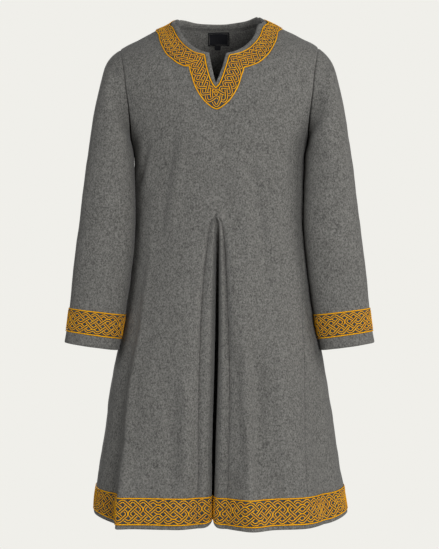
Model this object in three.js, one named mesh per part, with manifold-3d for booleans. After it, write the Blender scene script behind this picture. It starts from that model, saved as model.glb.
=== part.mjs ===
// A long-sleeved wool tunic in the old northern cut, filled out as if worn.
// Millimetres, +Z up. The front faces -Y, and +X is on the right when the front is faced.
// The origin is the middle of the neck, at the height where the shoulder seams start.
// Heights are given as "down": the distance below the origin.
import * as THREE from 'three';
import { mergeVertices } from 'three/addons/utils/BufferGeometryUtils.js';
import Module from 'manifold-3d';

const wasm = await Module();
wasm.setup();

// Cloth thicknesses and clearances
const WOOL = 2;
const SEAM_GAP = 0.3;
const WIDE_SEAM_GAP = 0.7;          // where a seam turns sharply
const TRIM = 1.2;
const TRIM_LIFT = TRIM + 0.4;      // outer face of a band above the wool
const BINDING = 3;
const BINDING_LIFT = 0.5;
const LABEL = 1;
const LABEL_GAP = 0.95;

// Driving heights
const NECK_SEAM = 4.8;             // where the neck seam crosses the shoulder seam
const SHOULDER_END = 60;
const UNDERARM = 257;
const EDGE_CORNER = 83;            // the slit in the neck's cut edge
const EDGE_END = 143;
const SLIT_CORNER = 86.5;          // the slit in the binding's seam
const SLIT_END = 151.4;
const GODET_TOP = 397;
const HEM = 992;
const HEM_TRIM_TOP = 935;
const HEM_TRIM_END = 987;
const MIDDLE_X = -7;               // the line from the slit's end to the godet's top

// Squareness of a level section: 2 is an ellipse
const SQUARE = 2.4;
const SLEEVE_SQUARE = 2.2;

// Level sections of the body: half width, and depth in front of and behind the shoulder line.
// "middle" is how far behind the shoulder line the widest points lie.
const BODY = [
  { down: 0, wide: 82, front: 8, back: 62, middle: 0 },
  { down: 10, wide: 103, front: 22, back: 73, middle: 0 },
  { down: 28, wide: 140, front: 42, back: 86, middle: 0 },
  { down: 60, wide: 198, front: 73, back: 99, middle: 0 },
  { down: 85, wide: 222, front: 94, back: 107, middle: 0 },
  { down: 120, wide: 228, front: 109, back: 113, middle: 0 },
  { down: 160, wide: 219, front: 118, back: 117, middle: 0 },
  { down: 200, wide: 201, front: 122, back: 119, middle: 0 },
  { down: 230, wide: 186, front: 124, back: 119, middle: 0 },
  { down: 257, wide: 174.5, front: 125, back: 118, middle: 0 },
  { down: 300, wide: 170.5, front: 125, back: 115, middle: 1 },
  { down: 364, wide: 170.5, front: 123, back: 110, middle: 2 },
  { down: 450, wide: 174, front: 126, back: 110, middle: 4 },
  { down: 600, wide: 190, front: 140, back: 126, middle: 8 },
  { down: 760, wide: 219, front: 156, back: 148, middle: 11 },
  { down: 992, wide: 256, front: 178, back: 182, middle: 16 },
];

// Soft folds of the skirt: where they stand round the body (0 front, 90 the +X side), where
// they start, how far they stand out or in at the hem, and their half width in degrees.
const FOLDS = [
  { turn: -3, from: 400, out: -34, half: 7 },
  { turn: 10, from: 430, out: 22, half: 6 },
  { turn: 34, from: 520, out: 9, half: 9 },
  { turn: 55, from: 560, out: -13, half: 9 },
  { turn: -38, from: 480, out: 16, half: 9 },
  { turn: -47, from: 300, out: 17, half: 4 },
  { turn: -58, from: 420, out: -15, half: 8 },
  { turn: -118, from: 520, out: 12, half: 12 },
  { turn: -146, from: 460, out: -12, half: 10 },
  { turn: -168, from: 480, out: 12, half: 10 },
  { turn: 171, from: 500, out: -9, half: 9 },
  { turn: 150, from: 460, out: 13, half: 11 },
  { turn: 122, from: 540, out: -10, half: 11 },
];
const FOLD_GROWTH = 1.3;

// Half width of the body panels at the armhole
const ARMHOLE = [
  { down: 60, wide: 198 },
  { down: 90, wide: 190.5 },
  { down: 118, wide: 186 },
  { down: 160, wide: 181 },
  { down: 210, wide: 176.5 },
  { down: 257, wide: 174.5 },
];

// Edge between a panel and the side gore, in degrees from the middle of that panel
const GORE_SEAM = [
  { down: 257, turn: 90 },
  { down: 300, turn: 84 },
  { down: 364, turn: 78 },
  { down: 460, turn: 68 },
  { down: 562, turn: 59 },
  { down: 719, turn: 47.2 },
  { down: 850, turn: 40.6 },
  { down: 992, turn: 35.4 },
];

// Slit below the neck, x of the cut edge and of the binding's seam on each side
const SLIT_EDGE = [
  { down: 83, left: -20, right: 12.6 },
  { down: 110, left: -15, right: 5.5 },
  { down: 130, left: -10.4, right: -1.6 },
  { down: 143, left: -7, right: -7 },
];
const SLIT_SEAM = [
  { down: 86.5, left: -28, right: 18.2 },
  { down: 108, left: -24.6, right: 12 },
  { down: 132, left: -18, right: 4 },
  { down: 145, left: -12, right: -1.8 },
  { down: 151.4, left: -7, right: -7 },
];

// Centre godet: x of its two seams and of the fold between its halves, how deep the fold goes
// behind the seams, half the gap between its walls, and how far the halves bulge
const GODET = [
  { down: 397, left: -7, right: -7, fold: -6.5, deep: 0, gap: 1.5, bulge: 0 },
  { down: 414, left: -17, right: 4.5, fold: -4.5, deep: 6, gap: 2, bulge: 3 },
  { down: 464, left: -25, right: 10, fold: -4, deep: 24, gap: 2.5, bulge: 6 },
  { down: 541, left: -33, right: 13.5, fold: -4.5, deep: 42, gap: 3, bulge: 7 },
  { down: 617, left: -37.5, right: 16, fold: -5, deep: 56, gap: 3.2, bulge: 7 },
  { down: 710, left: -40.5, right: 18.5, fold: -7, deep: 70, gap: 3.5, bulge: 6 },
  { down: 850, left: -42.5, right: 16.5, fold: -11, deep: 84, gap: 4, bulge: 4 },
  { down: 992, left: -43, right: 11, fold: -13, deep: 96, gap: 4.5, bulge: 2 },
];
// The dip of the front beside the godet: its depth, its half width, and where it grows and dies
const GROOVE = { deep: 6, half: 5, from: 410, full: 470, dies: 560, to: 900 };

// Sleeve rings by distance along the outer edge from the shoulder: the outer and inner points in
// the plane of the shoulders, half the depth, and how far forward the ring's middle lies
const SLEEVE = [
  { along: 0, outX: 198, outDown: 60, inX: 174.5, inDown: 257, half: 76, forward: 0 },
  { along: 20, outX: 212, outDown: 73, inX: 175.3, inDown: 258.2, half: 74, forward: 2 },
  { along: 45, outX: 225, outDown: 94, inX: 175.6, inDown: 261, half: 71, forward: 6 },
  { along: 80, outX: 236, outDown: 128, inX: 175.2, inDown: 267, half: 67, forward: 12 },
  { along: 125, outX: 245.5, outDown: 172, inX: 173.8, inDown: 279, half: 63, forward: 20 },
  { along: 180, outX: 253.5, outDown: 226, inX: 171.5, inDown: 300, half: 59, forward: 28 },
  { along: 250, outX: 262, outDown: 295, inX: 168.8, inDown: 340, half: 55, forward: 36 },
  { along: 345, outX: 273, outDown: 389, inX: 167.6, inDown: 411, half: 51, forward: 43 },
  { along: 440, outX: 285, outDown: 483, inX: 173, inDown: 497, half: 48, forward: 47 },
  { along: 536, outX: 295, outDown: 577, inX: 185.5, inDown: 590, half: 45, forward: 49 },
  { along: 583, outX: 300.5, outDown: 623, inX: 194, inDown: 638, half: 43, forward: 50 },
  { along: 603, outX: 304, outDown: 643, inX: 198, inDown: 658.5, half: 42, forward: 50 },
];
const SLEEVE_SHAPED = 60;          // how far along the sleeve the armhole's own curve dies away
const ARMHOLE_GAP = 0.42;          // sideways, which is 0.3 across the seam
const CUFF_TRIM = { from: 536, to: 583 };

// Neck curves: half width and drop from the neck's middle
const NECK_X = -2;
const NECK_EDGE = { wide: 81.5, drop: 77, from: 2, square: 2 };
const NECK_CURVE = { wide: 92, drop: 83, from: 4, square: 2 };
const TRIM_CURVE = { wide: 121, drop: 108, from: 4, square: 2.5 };
const TRIM_CORNER = { left: -58.7, right: 48, down: 111 };
const LOBE = { x: -5, wide: 50, deep: 82.5, corner: 1 / 6 };
const BACK_NECK = { edge: 2, seam: 6.5, trim: 15.5 };   // extra drop at the middle of the back
const TRIM_OUTER_DOWN = 18.5;      // where the band's outer edge crosses the shoulder seam
const BAND_PRISM = { top: 20, lean: 6, deep: 300 };

// Label inside the back neck
const NECK_LABEL = { left: -23, right: 20, top: 15, bottom: 41 };
const SIZE_TAB = { left: -10, right: 2, top: 42, bottom: 49 };

// How finely the pieces are cut up, and how rows crowd towards one end of a line
const NECK_COLUMNS = 6;
const SHOULDER_COLUMNS = 4;
const ARMHOLE_ROWS = 9;
const SLIT_ROWS = 4;
const WAIST_ROWS = 12;             // row that reaches the godet's top
const SKIRT_ROWS = [420, 465, 530, 610, 695, 780, 860, HEM_TRIM_TOP, HEM_TRIM_END, HEM];
const GORE_SHARES = [0, 0.06, 0.11, 0.17, 0.32, 0.54, 0.78, 1];
const SLIT_CROWD = 1.5;
const MIDDLE_CROWD = 0.9;
const FIRST_ROW = { gore: 0.05, godet: 0.3 };   // its place between a piece's point and the next row
const LABEL_GRID = { across: 4, rows: 2 };

const COLOURS = {
  wool: { color: 0x5b5955, roughness: 0.95 },
  gold: { color: 0xc98a1c, roughness: 0.6 },
  label: { color: 0x16161a, roughness: 0.8 },
};

const { sin, cos, abs, sign, min, max, asin, PI } = Math;
const radians = (degrees) => degrees * PI / 180;
const mix = (a, b, t) => a + (b - a) * t;
const smooth = (t) => {
  const s = min(1, max(0, t));
  return s * s * (3 - 2 * s);
};

/** A smooth function through one column of a table, which never overshoots its rows. */
function column(table, key, name) {
  const at = table.map((row) => row[key]);
  const value = table.map((row) => row[name]);
  const last = at.length - 1;
  const rise = (i) => (value[i + 1] - value[i]) / (at[i + 1] - at[i]);
  const slope = at.map((_, i) => {
    if (i === 0) return rise(0);
    if (i === last) return rise(last - 1);
    const before = rise(i - 1);
    const after = rise(i);
    return before * after <= 0 ? 0 : 2 * before * after / (before + after);
  });
  return (x) => {
    if (x <= at[0]) return value[0] + slope[0] * (x - at[0]);
    if (x >= at[last]) return value[last] + slope[last] * (x - at[last]);
    let i = 0;
    while (x > at[i + 1]) i += 1;
    const span = at[i + 1] - at[i];
    const t = (x - at[i]) / span;
    const u = 1 - t;
    return value[i] * u * u * (1 + 2 * t) + value[i + 1] * t * t * (1 + 2 * u)
      + span * t * u * (slope[i] * u - slope[i + 1] * t);
  };
}

/** Every named column of a table as a smooth function of its key. */
function columns(table, key) {
  const names = Object.keys(table[0]).filter((name) => name !== key);
  return Object.fromEntries(names.map((name) => [name, column(table, key, name)]));
}

const body = columns(BODY, 'down');
const armhole = columns(ARMHOLE, 'down');
const goreSeam = columns(GORE_SEAM, 'down');
const slitEdge = columns(SLIT_EDGE, 'down');
const slitSeam = columns(SLIT_SEAM, 'down');
const godet = columns(GODET, 'down');
const sleeve = columns(SLEEVE, 'along');

// ---- The body's form -------------------------------------------------------------------------

/** How far the skirt's folds move the cloth out at a place round the body. */
function foldsOut(turn, down) {
  let out = 0;
  for (const fold of FOLDS) {
    const apart = ((turn - fold.turn + 540) % 360) - 180;
    const grown = max(0, (down - fold.from) / (HEM - fold.from));
    out += fold.out * grown ** FOLD_GROWTH * Math.exp(-((apart / fold.half) ** 2));
  }
  return out;
}

/** The front beside the godet dips towards its two seams. */
function grooveIn(x, y, down) {
  if (y > 0 || down < GROOVE.from || down > HEM) return 0;
  const grown = smooth((down - GROOVE.from) / (GROOVE.full - GROOVE.from));
  const left = 1 - smooth((down - GROOVE.dies) / (GROOVE.to - GROOVE.dies));
  const apart = min(abs(x - godet.left(down)), abs(x - godet.right(down)));
  return GROOVE.deep * grown * left * Math.exp(-((apart / GROOVE.half) ** 2));
}

/** A point of the wool's outer face: "turn" runs round the body, 0 at the middle of the front. */
function around(turn, down) {
  const angle = radians(turn);
  const power = 2 / SQUARE;
  const middle = body.middle(down);
  const depth = cos(angle) > 0 ? body.front(down) + middle : body.back(down) - middle;
  const out = foldsOut(turn, down);
  const x = body.wide(down) * sign(sin(angle)) * abs(sin(angle)) ** power + out * sin(angle);
  const y = middle - depth * sign(cos(angle)) * abs(cos(angle)) ** power - out * cos(angle);
  return new THREE.Vector3(x, y + grooveIn(x, y, down), -down);
}

/** The turn, from the middle of its face, at which the body's section passes half width x. */
function turnAt(x, down) {
  const share = min(1, abs(x) / body.wide(down));
  return sign(x) * asin(share ** (SQUARE / 2)) * 180 / PI;
}

/** Unit normal of a surface point(a, b): the direction of b crossed with that of a. */
function normalOf(point, a, b, stepA, stepB) {
  const alongA = point(a + stepA, b).sub(point(a - stepA, b));
  const alongB = point(a, b + stepB).sub(point(a, b - stepB));
  return alongB.cross(alongA).normalize();
}

/** A vertex of the body's outer face with its outward normal. */
function bodyVertex(turn, down) {
  const stepTurn = 0.6;
  const stepDown = 0.8;
  return { point: around(turn, down), normal: normalOf(around, turn, down, stepTurn, stepDown) };
}

// ---- Neck curves -----------------------------------------------------------------------------

/** Height of a neck curve at a distance from the neck's middle. */
function curveDown(curve, wide) {
  const share = min(1, wide / curve.wide);
  return curve.from + curve.drop * (1 - share ** curve.square) ** (1 / curve.square);
}

// ---- Sheets and walls ------------------------------------------------------------------------

/** A sheet of quads over a grid of vertices. Vertices with the same name are one vertex. */
class Sheet {
  constructor() {
    this.vertices = [];
    this.quads = [];
    this.named = new Map();
  }

  vertex(name, make) {
    if (!this.named.has(name)) {
      this.named.set(name, this.vertices.length);
      this.vertices.push(make());
    }
    return this.named.get(name);
  }

  /**
   * Adds rows x columns of quads. make(i, j) gives the vertex of column i in row j. A quad is cut
   * from its first corner to its third, and "turned" says where it is cut the other way.
   */
  grid(lastColumn, lastRow, make, { name = (i, j) => `${i} ${j}`, turned = () => false } = {}) {
    const index = (i, j) => this.vertex(name(i, j), () => make(i, j));
    for (let j = 0; j < lastRow; j += 1) {
      for (let i = 0; i < lastColumn; i += 1) {
        const quad = [index(i, j), index(i, j + 1), index(i + 1, j + 1), index(i + 1, j)];
        this.quads.push(turned(i) ? [...quad.slice(1), quad[0]] : quad);
      }
    }
    return this;
  }
}

/** Gives a sheet its thickness: the outer face is lifted, the inner lies "thick" under it. */
function wall(sheet, thick, lift = 0) {
  const count = sheet.vertices.length;
  const positions = [];
  for (const distance of [lift, lift - thick]) {
    for (const { point, normal } of sheet.vertices) {
      positions.push(...point.clone().addScaledVector(normal, distance).toArray());
    }
  }
  // Quads that run the wrong way round for their normals are turned over.
  const [a, b, c] = sheet.quads[Math.floor(sheet.quads.length / 2)].map((i) => sheet.vertices[i]);
  const facing = b.point.clone().sub(a.point).cross(c.point.clone().sub(a.point));
  const outward = facing.dot(a.normal) > 0;
  const quads = sheet.quads.map(([p, q, r, s]) => (outward ? [p, q, r, s] : [p, s, r, q]));
  const edges = new Set();
  const index = [];
  for (const quad of quads) {
    const [p, q, r, s] = quad;
    index.push(p, q, r, p, r, s, count + p, count + r, count + q, count + p, count + s, count + r);
    quad.forEach((from, i) => edges.add(`${from} ${quad[(i + 1) % 4]}`));
  }
  for (const edge of edges) {
    const [from, to] = edge.split(' ').map(Number);
    if (!edges.has(`${to} ${from}`)) {
      index.push(to, from, count + from, to, count + from, count + to);
    }
  }
  const geometry = new THREE.BufferGeometry();
  geometry.setAttribute('position', new THREE.Float32BufferAttribute(positions, 3));
  geometry.setIndex(index);
  geometry.computeVertexNormals();
  return geometry;
}

// ---- Front and back --------------------------------------------------------------------------

// Heights of the rows along the outer edge of a panel: down the armhole as seen from its middle,
// so that they match the sleeve's rings, then evenly to the godet's top, then the skirt's rows.
const OUTER_ROWS = [];
for (let j = 0; j <= WAIST_ROWS; j += 1) {
  const reach = (UNDERARM - SHOULDER_END) / 2;
  const onArmhole = SHOULDER_END + reach * (1 - cos(PI * j / ARMHOLE_ROWS));
  const below = mix(UNDERARM, GODET_TOP, (j - ARMHOLE_ROWS) / (WAIST_ROWS - ARMHOLE_ROWS));
  OUTER_ROWS.push(j <= ARMHOLE_ROWS ? onArmhole : below);
}
OUTER_ROWS.push(...SKIRT_ROWS);
const LAST_ROW = OUTER_ROWS.length - 1;
const PANEL_COLUMNS = NECK_COLUMNS + SHOULDER_COLUMNS;
const GORE_ROWS = OUTER_ROWS.slice(ARMHOLE_ROWS);
const GORE_COLUMNS = GORE_SHARES.length - 1;

/** Turn of a panel's outer edge from the middle of its face: armhole, then gore seam. */
function outerTurn(down) {
  return down < UNDERARM ? turnAt(armhole.wide(down), down) : goreSeam.turn(down);
}

/** Heights of the front's rows down its inner edge: slit, centre line, godet seam. */
function frontInnerRow(j) {
  if (j <= SLIT_ROWS) return slitPlace(1, slitSeam, SLIT_CORNER, SLIT_END, j / SLIT_ROWS).down;
  if (j <= WAIST_ROWS) {
    const share = (j - SLIT_ROWS) / (WAIST_ROWS - SLIT_ROWS);
    return mix(SLIT_END, GODET_TOP, share ** MIDDLE_CROWD);
  }
  return OUTER_ROWS[j];
}

/** x of the front's inner edge on one side. */
function frontInnerX(side, down) {
  if (down < SLIT_END) return side < 0 ? slitSeam.left(down) : slitSeam.right(down);
  if (down <= GODET_TOP) return MIDDLE_X;
  return side < 0 ? godet.left(down) : godet.right(down);
}

/** Height of the back neck's seam at a turn from the middle of the back. */
function backNeckDown(halfTurn) {
  return NECK_SEAM + BACK_NECK.seam * cos(radians(halfTurn));
}

/**
 * Places a panel's grid: (share across, row) to a turn from the middle of the face and a height.
 * The rows are straight across in these, and bent up near the top to meet the neck and shoulder.
 */
function panelPlace(across, row, edge) {
  const left = max(0, 1 - row / ARMHOLE_ROWS);
  const bentTurn = left * (1 - smooth(row / ARMHOLE_ROWS));
  const bentDown = left ** 2;
  const turn = mix(edge.innerTurn(row), edge.outerTurn(row), across)
    + (edge.topTurn - mix(edge.innerTurn(0), edge.outerTurn(0), across)) * bentTurn;
  const down = mix(edge.innerDown(row), edge.outerDown(row), across)
    + (edge.topDown - mix(edge.innerDown(0), edge.outerDown(0), across)) * bentDown;
  return { turn, down };
}

/** The top edge of a half panel at a column: along the neck seam, then along the shoulder. */
function topEdge(i, onNeck) {
  if (i < NECK_COLUMNS) return onNeck(i / NECK_COLUMNS);
  return { turn: 90, down: mix(NECK_SEAM, SHOULDER_END, (i - NECK_COLUMNS) / SHOULDER_COLUMNS) };
}

/** The front's neck seam from the slit's corner (0) to the shoulder (1). */
function frontNeck(side, share) {
  const place = NECK_LINES.seam.neck(side, 1 - share);
  return { turn: abs(place.turn), down: place.down };
}

/** The vertex of the front at a column and row of one side. */
function frontVertex(side, i, j) {
  const top = topEdge(i, (share) => frontNeck(side, share));
  const edge = {
    innerTurn: (row) => side * turnAt(frontInnerX(side, frontInnerRow(row)), frontInnerRow(row)),
    outerTurn: (row) => outerTurn(OUTER_ROWS[row]),
    innerDown: frontInnerRow,
    outerDown: (row) => OUTER_ROWS[row],
    topTurn: top.turn,
    topDown: top.down,
  };
  const place = panelPlace(i / PANEL_COLUMNS, j, edge);
  return bodyVertex(side * place.turn, place.down);
}

/** The vertex of the back at a column and row of one side; its middle is one line. */
function backVertex(side, i, j) {
  const neck = (share) => ({ turn: 90 * share, down: backNeckDown(90 * share) });
  const top = topEdge(i, neck);
  const innerRow = (row) => mix(backNeckDown(0), OUTER_ROWS[row], smooth(row / ARMHOLE_ROWS));
  const edge = {
    innerTurn: () => 0,
    outerTurn: (row) => outerTurn(OUTER_ROWS[row]),
    innerDown: (row) => (row < ARMHOLE_ROWS ? innerRow(row) : OUTER_ROWS[row]),
    outerDown: (row) => OUTER_ROWS[row],
    topTurn: top.turn,
    topDown: top.down,
  };
  const place = panelPlace(i / PANEL_COLUMNS, j, edge);
  return bodyVertex(side * (180 - place.turn), place.down);
}

/** Draws the boundary of a sheet in by half a seam's gap, in the plane of the cloth. */
function trimSeams(sheet, gap = SEAM_GAP) {
  const edges = new Map();
  for (const quad of sheet.quads) {
    quad.forEach((from, i) => edges.set(`${from} ${quad[(i + 1) % 4]}`, quad));
  }
  const moves = new Map();
  for (const [edge, quad] of edges) {
    const [from, to] = edge.split(' ').map(Number);
    if (edges.has(`${to} ${from}`)) continue;
    const middle = quad.reduce((sum, k) => sum.add(sheet.vertices[k].point), new THREE.Vector3())
      .multiplyScalar(0.25);
    for (const k of [from, to]) {
      const along = sheet.vertices[to].point.clone().sub(sheet.vertices[from].point).normalize();
      const inward = sheet.vertices[k].normal.clone().cross(along).normalize();
      const toMiddle = middle.clone().sub(sheet.vertices[k].point);
      if (inward.dot(toMiddle) < 0) inward.negate();
      if (!moves.has(k)) moves.set(k, []);
      moves.get(k).push(inward);
    }
  }
  for (const [k, inwards] of moves) {
    const sum = inwards.reduce((total, move) => total.add(move), new THREE.Vector3());
    const scale = gap / 2 / max(0.5, sum.length() / inwards.length) / inwards.length;
    sheet.vertices[k] = { ...sheet.vertices[k] };
    sheet.vertices[k].point = sheet.vertices[k].point.clone().addScaledVector(sum, scale);
  }
  return sheet;
}

function frontSheet() {
  const sheet = new Sheet();
  for (const side of [-1, 1]) {
    const start = side < 0 ? PANEL_COLUMNS : 0;
    const fromMiddle = (k) => abs(start - k);
    const shared = (k, j) => k === start && j >= SLIT_ROWS && j <= WAIST_ROWS;
    const name = (k, j) => (shared(k, j) ? `middle ${j}` : `${side} ${k} ${j}`);
    const vertex = (k, j) => frontVertex(side, fromMiddle(k), j);
    sheet.grid(PANEL_COLUMNS, LAST_ROW, vertex, { name, turned: () => side > 0 });
  }
  return trimSeams(sheet);
}

function backSheet() {
  const sheet = new Sheet();
  const vertex = (k, j) => backVertex(k < PANEL_COLUMNS ? 1 : -1, abs(k - PANEL_COLUMNS), j);
  sheet.grid(2 * PANEL_COLUMNS, LAST_ROW, vertex, { turned: (k) => k >= PANEL_COLUMNS });
  return trimSeams(sheet);
}

// ---- Side gores ------------------------------------------------------------------------------

/** Turn of a gore's column at a height: from the front seam through the side to the back seam. */
function goreTurn(side, share, down) {
  return side * mix(goreSeam.turn(down), 180 - goreSeam.turn(down), share);
}

/** A vertex part of the way from a point where a piece starts to a vertex of its next row. */
function nearStart(start, vertex, share) {
  return { point: start.clone().lerp(vertex.point, share), normal: vertex.normal };
}

function goreVertex(side, i, down) {
  return bodyVertex(goreTurn(side, GORE_SHARES[i], down), down);
}

function sideGore(side) {
  const sheet = new Sheet();
  const underarm = around(side * 90, UNDERARM);
  sheet.grid(GORE_COLUMNS, GORE_ROWS.length - 1, (i, j) => {
    if (j === 0) return nearStart(underarm, goreVertex(side, i, GORE_ROWS[1]), FIRST_ROW.gore);
    return goreVertex(side, i, GORE_ROWS[j]);
  });
  return wall(trimSeams(sheet, WIDE_SEAM_GAP), WOOL);
}

// ---- Centre godet ----------------------------------------------------------------------------

// Steps from a seam to the bottom of the fold: round the crest, down the wall, round the bottom
const GODET_STEPS = [
  { part: 'crest', share: 0 },
  { part: 'crest', share: 0.3 },
  { part: 'crest', share: 0.6 },
  { part: 'crest', share: 0.82 },
  { part: 'crest', share: 1 },
  { part: 'wall', share: 0.5 },
  { part: 'wall', share: 1 },
  { part: 'bottom', share: 1 },
];

/** The sizes of one side of the godet's section at a height. */
function godetSide(side, down) {
  const seamX = side < 0 ? godet.left(down) : godet.right(down);
  const seam = around(turnAt(seamX, down), down);
  const reach = abs(seam.x - godet.fold(down));
  const gap = min(godet.gap(down), reach * 0.4);
  const wide = reach - gap;
  return { seam, gap, wide, round: min(0.9 * wide, 0.7 * godet.deep(down)) };
}

/** y where the fold's walls end and its bottom begins, which is one depth for both sides. */
function wallEnd(down) {
  const sides = [-1, 1].map((side) => godetSide(side, down));
  const seamY = (sides[0].seam.y + sides[1].seam.y) / 2;
  const crestY = max(...sides.map(({ seam, round }) => seam.y + round));
  return max(crestY, seamY + godet.deep(down) - godet.gap(down));
}

/** A point of the godet's outer face on one side, at one of its steps. */
function godetStep(side, { part, share }, down) {
  const { seam, gap, wide, round } = godetSide(side, down);
  const fold = godet.fold(down);
  if (part === 'crest') {
    const angle = share * PI / 2;
    const bulge = godet.bulge(down) * sin(PI * min(1, share * 1.15)) ** 2;
    const x = fold + side * (gap + wide * (1 - sin(angle)));
    return new THREE.Vector3(x, seam.y + round * (1 - cos(angle)) - bulge, -down);
  }
  const end = wallEnd(down);
  if (part === 'wall') {
    return new THREE.Vector3(fold + side * gap, mix(seam.y + round, end, share), -down);
  }
  return new THREE.Vector3(fold, end + gap, -down);
}

/** A point of the godet's outer face on one side, by a step that may lie between two. */
function godetPoint(side, step, down) {
  const low = min(GODET_STEPS.length - 2, max(0, Math.floor(step)));
  const place = (k) => godetStep(side, GODET_STEPS[k], down);
  return place(low).lerp(place(low + 1), step - low);
}

/** Place across the whole godet: from the left seam (0) over the fold to the right seam. */
const GODET_COLUMNS = 2 * (GODET_STEPS.length - 1);
function godetAcross(k, down) {
  const half = GODET_STEPS.length - 1;
  return k <= half ? godetPoint(-1, k, down) : godetPoint(1, 2 * half - k, down);
}

function godetVertex(k, down) {
  const point = (a, d) => godetAcross(max(0, min(GODET_COLUMNS, a)), d);
  return { point: godetAcross(k, down), normal: normalOf(point, k, down, 0.5, 0.5) };
}

function frontGodet() {
  const sheet = new Sheet();
  const apex = around(turnAt(GODET[0].left, GODET_TOP), GODET_TOP);
  sheet.grid(GODET_COLUMNS, SKIRT_ROWS.length, (k, j) => {
    if (j === 0) return nearStart(apex, godetVertex(k, SKIRT_ROWS[0]), FIRST_ROW.godet);
    return godetVertex(k, SKIRT_ROWS[j - 1]);
  });
  return wall(trimSeams(sheet, WIDE_SEAM_GAP), WOOL);
}

// ---- Sleeves ---------------------------------------------------------------------------------

const SLEEVE_SIDES = 2 * ARMHOLE_ROWS;

/** The armhole's own loop: 0 at the shoulder, 90 in front, 180 under the arm. */
function armholePoint(turn) {
  const angle = radians(turn);
  const down = SHOULDER_END + (UNDERARM - SHOULDER_END) / 2 * (1 - cos(angle));
  const edge = turnAt(armhole.wide(down), down);
  return around(sin(angle) >= 0 ? edge : 180 - edge, down);
}

/** A point of the right sleeve's outer face, by the distance along it and the turn round it. */
function sleevePoint(along, turn) {
  const angle = radians(turn);
  const power = 2 / SLEEVE_SQUARE;
  const lengthwise = sign(cos(angle)) * abs(cos(angle)) ** power;
  const forward = sign(sin(angle)) * abs(sin(angle)) ** power;
  const x = mix(sleeve.inX(along), sleeve.outX(along), (1 + lengthwise) / 2);
  const down = mix(sleeve.inDown(along), sleeve.outDown(along), (1 + lengthwise) / 2);
  const y = -sleeve.forward(along) - sleeve.half(along) * forward;
  const ring = new THREE.Vector3(x, y, -down);
  const own = 1 - smooth(along / SLEEVE_SHAPED);
  if (own === 0) return ring;
  const start = armholePoint(turn);
  const planeX = mix(sleeve.inX(0), sleeve.outX(0), (1 + lengthwise) / 2);
  const planeDown = mix(sleeve.inDown(0), sleeve.outDown(0), (1 + lengthwise) / 2);
  const plane = new THREE.Vector3(planeX, -sleeve.half(0) * forward, -planeDown);
  return ring.addScaledVector(start.sub(plane), own);
}

function sleeveVertex(side, along, turn) {
  const stepAlong = 0.9;
  const stepTurn = 2;
  const normal = normalOf(sleevePoint, max(along, 1), turn, stepAlong, stepTurn);
  const point = sleevePoint(along, turn);
  if (along === 0) point.x += ARMHOLE_GAP;
  point.x *= side;
  normal.x *= side;
  return { point, normal };
}

/** A closed tube of cloth round the sleeve, with a ring at each distance along it. */
function sleeveTube(side, rings, thick, lift) {
  const sheet = new Sheet();
  const step = 360 / SLEEVE_SIDES;
  const name = (i, j) => `${i % SLEEVE_SIDES} ${j}`;
  const vertex = (i, j) => sleeveVertex(side, rings[j], (i % SLEEVE_SIDES) * step);
  sheet.grid(SLEEVE_SIDES, rings.length - 1, vertex, { name });
  return wall(sheet, thick, lift);
}

function sleevePiece(side) {
  return sleeveTube(side, SLEEVE.map((row) => row.along), WOOL, 0);
}

function cuffTrim(side) {
  return sleeveTube(side, [CUFF_TRIM.from, CUFF_TRIM.to], TRIM, TRIM_LIFT);
}

// ---- Hem band --------------------------------------------------------------------------------

/** The whole skirt's columns in order round the hem, with which way their quads are cut. */
function hemColumns() {
  const list = [];
  const add = (turned, at) => list.push({ turned, at });
  const row = (down) => OUTER_ROWS.indexOf(down);
  for (let i = PANEL_COLUMNS; i > 0; i -= 1) add(false, (down) => frontVertex(-1, i, row(down)));
  for (let k = 0; k < GODET_COLUMNS; k += 1) add(false, (down) => godetVertex(k, down));
  for (let i = 0; i < PANEL_COLUMNS; i += 1) add(true, (down) => frontVertex(1, i, row(down)));
  for (let i = 0; i < GORE_COLUMNS; i += 1) add(false, (down) => goreVertex(1, i, down));
  for (let k = 0; k < 2 * PANEL_COLUMNS; k += 1) {
    const side = k < PANEL_COLUMNS ? 1 : -1;
    add(side < 0, (down) => backVertex(side, abs(k - PANEL_COLUMNS), row(down)));
  }
  for (let i = GORE_COLUMNS; i > 0; i -= 1) add(true, (down) => goreVertex(-1, i, down));
  return list;
}

function hemTrim() {
  const round = hemColumns();
  const rows = [HEM_TRIM_TOP, HEM_TRIM_END];
  const sheet = new Sheet();
  const name = (i, j) => `${i % round.length} ${j}`;
  const turned = (i) => round[i].turned;
  sheet.grid(round.length, 1, (i, j) => round[i % round.length].at(rows[j]), { name, turned });
  return wall(sheet, TRIM, TRIM_LIFT);
}

// ---- Neck binding and band -------------------------------------------------------------------

const BACK_STEPS = 2 * NECK_COLUMNS;

/** A curve of the front neck on one side, from the shoulder (0) to the slit's corner (1). */
function neckArc(side, curve, corner, shoulderDown, share) {
  const end = asin(min(1, abs(corner.x - NECK_X) / curve.wide));
  const wide = curve.wide * sin(mix(PI / 2, end, share)) ** (2 / curve.square);
  const x = NECK_X + side * wide;
  const down = mix(curveDown(curve, wide), corner.down, share ** 4);
  return share === 0 ? { turn: side * 90, down: shoulderDown } : { turn: turnAt(x, down), down };
}

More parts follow.
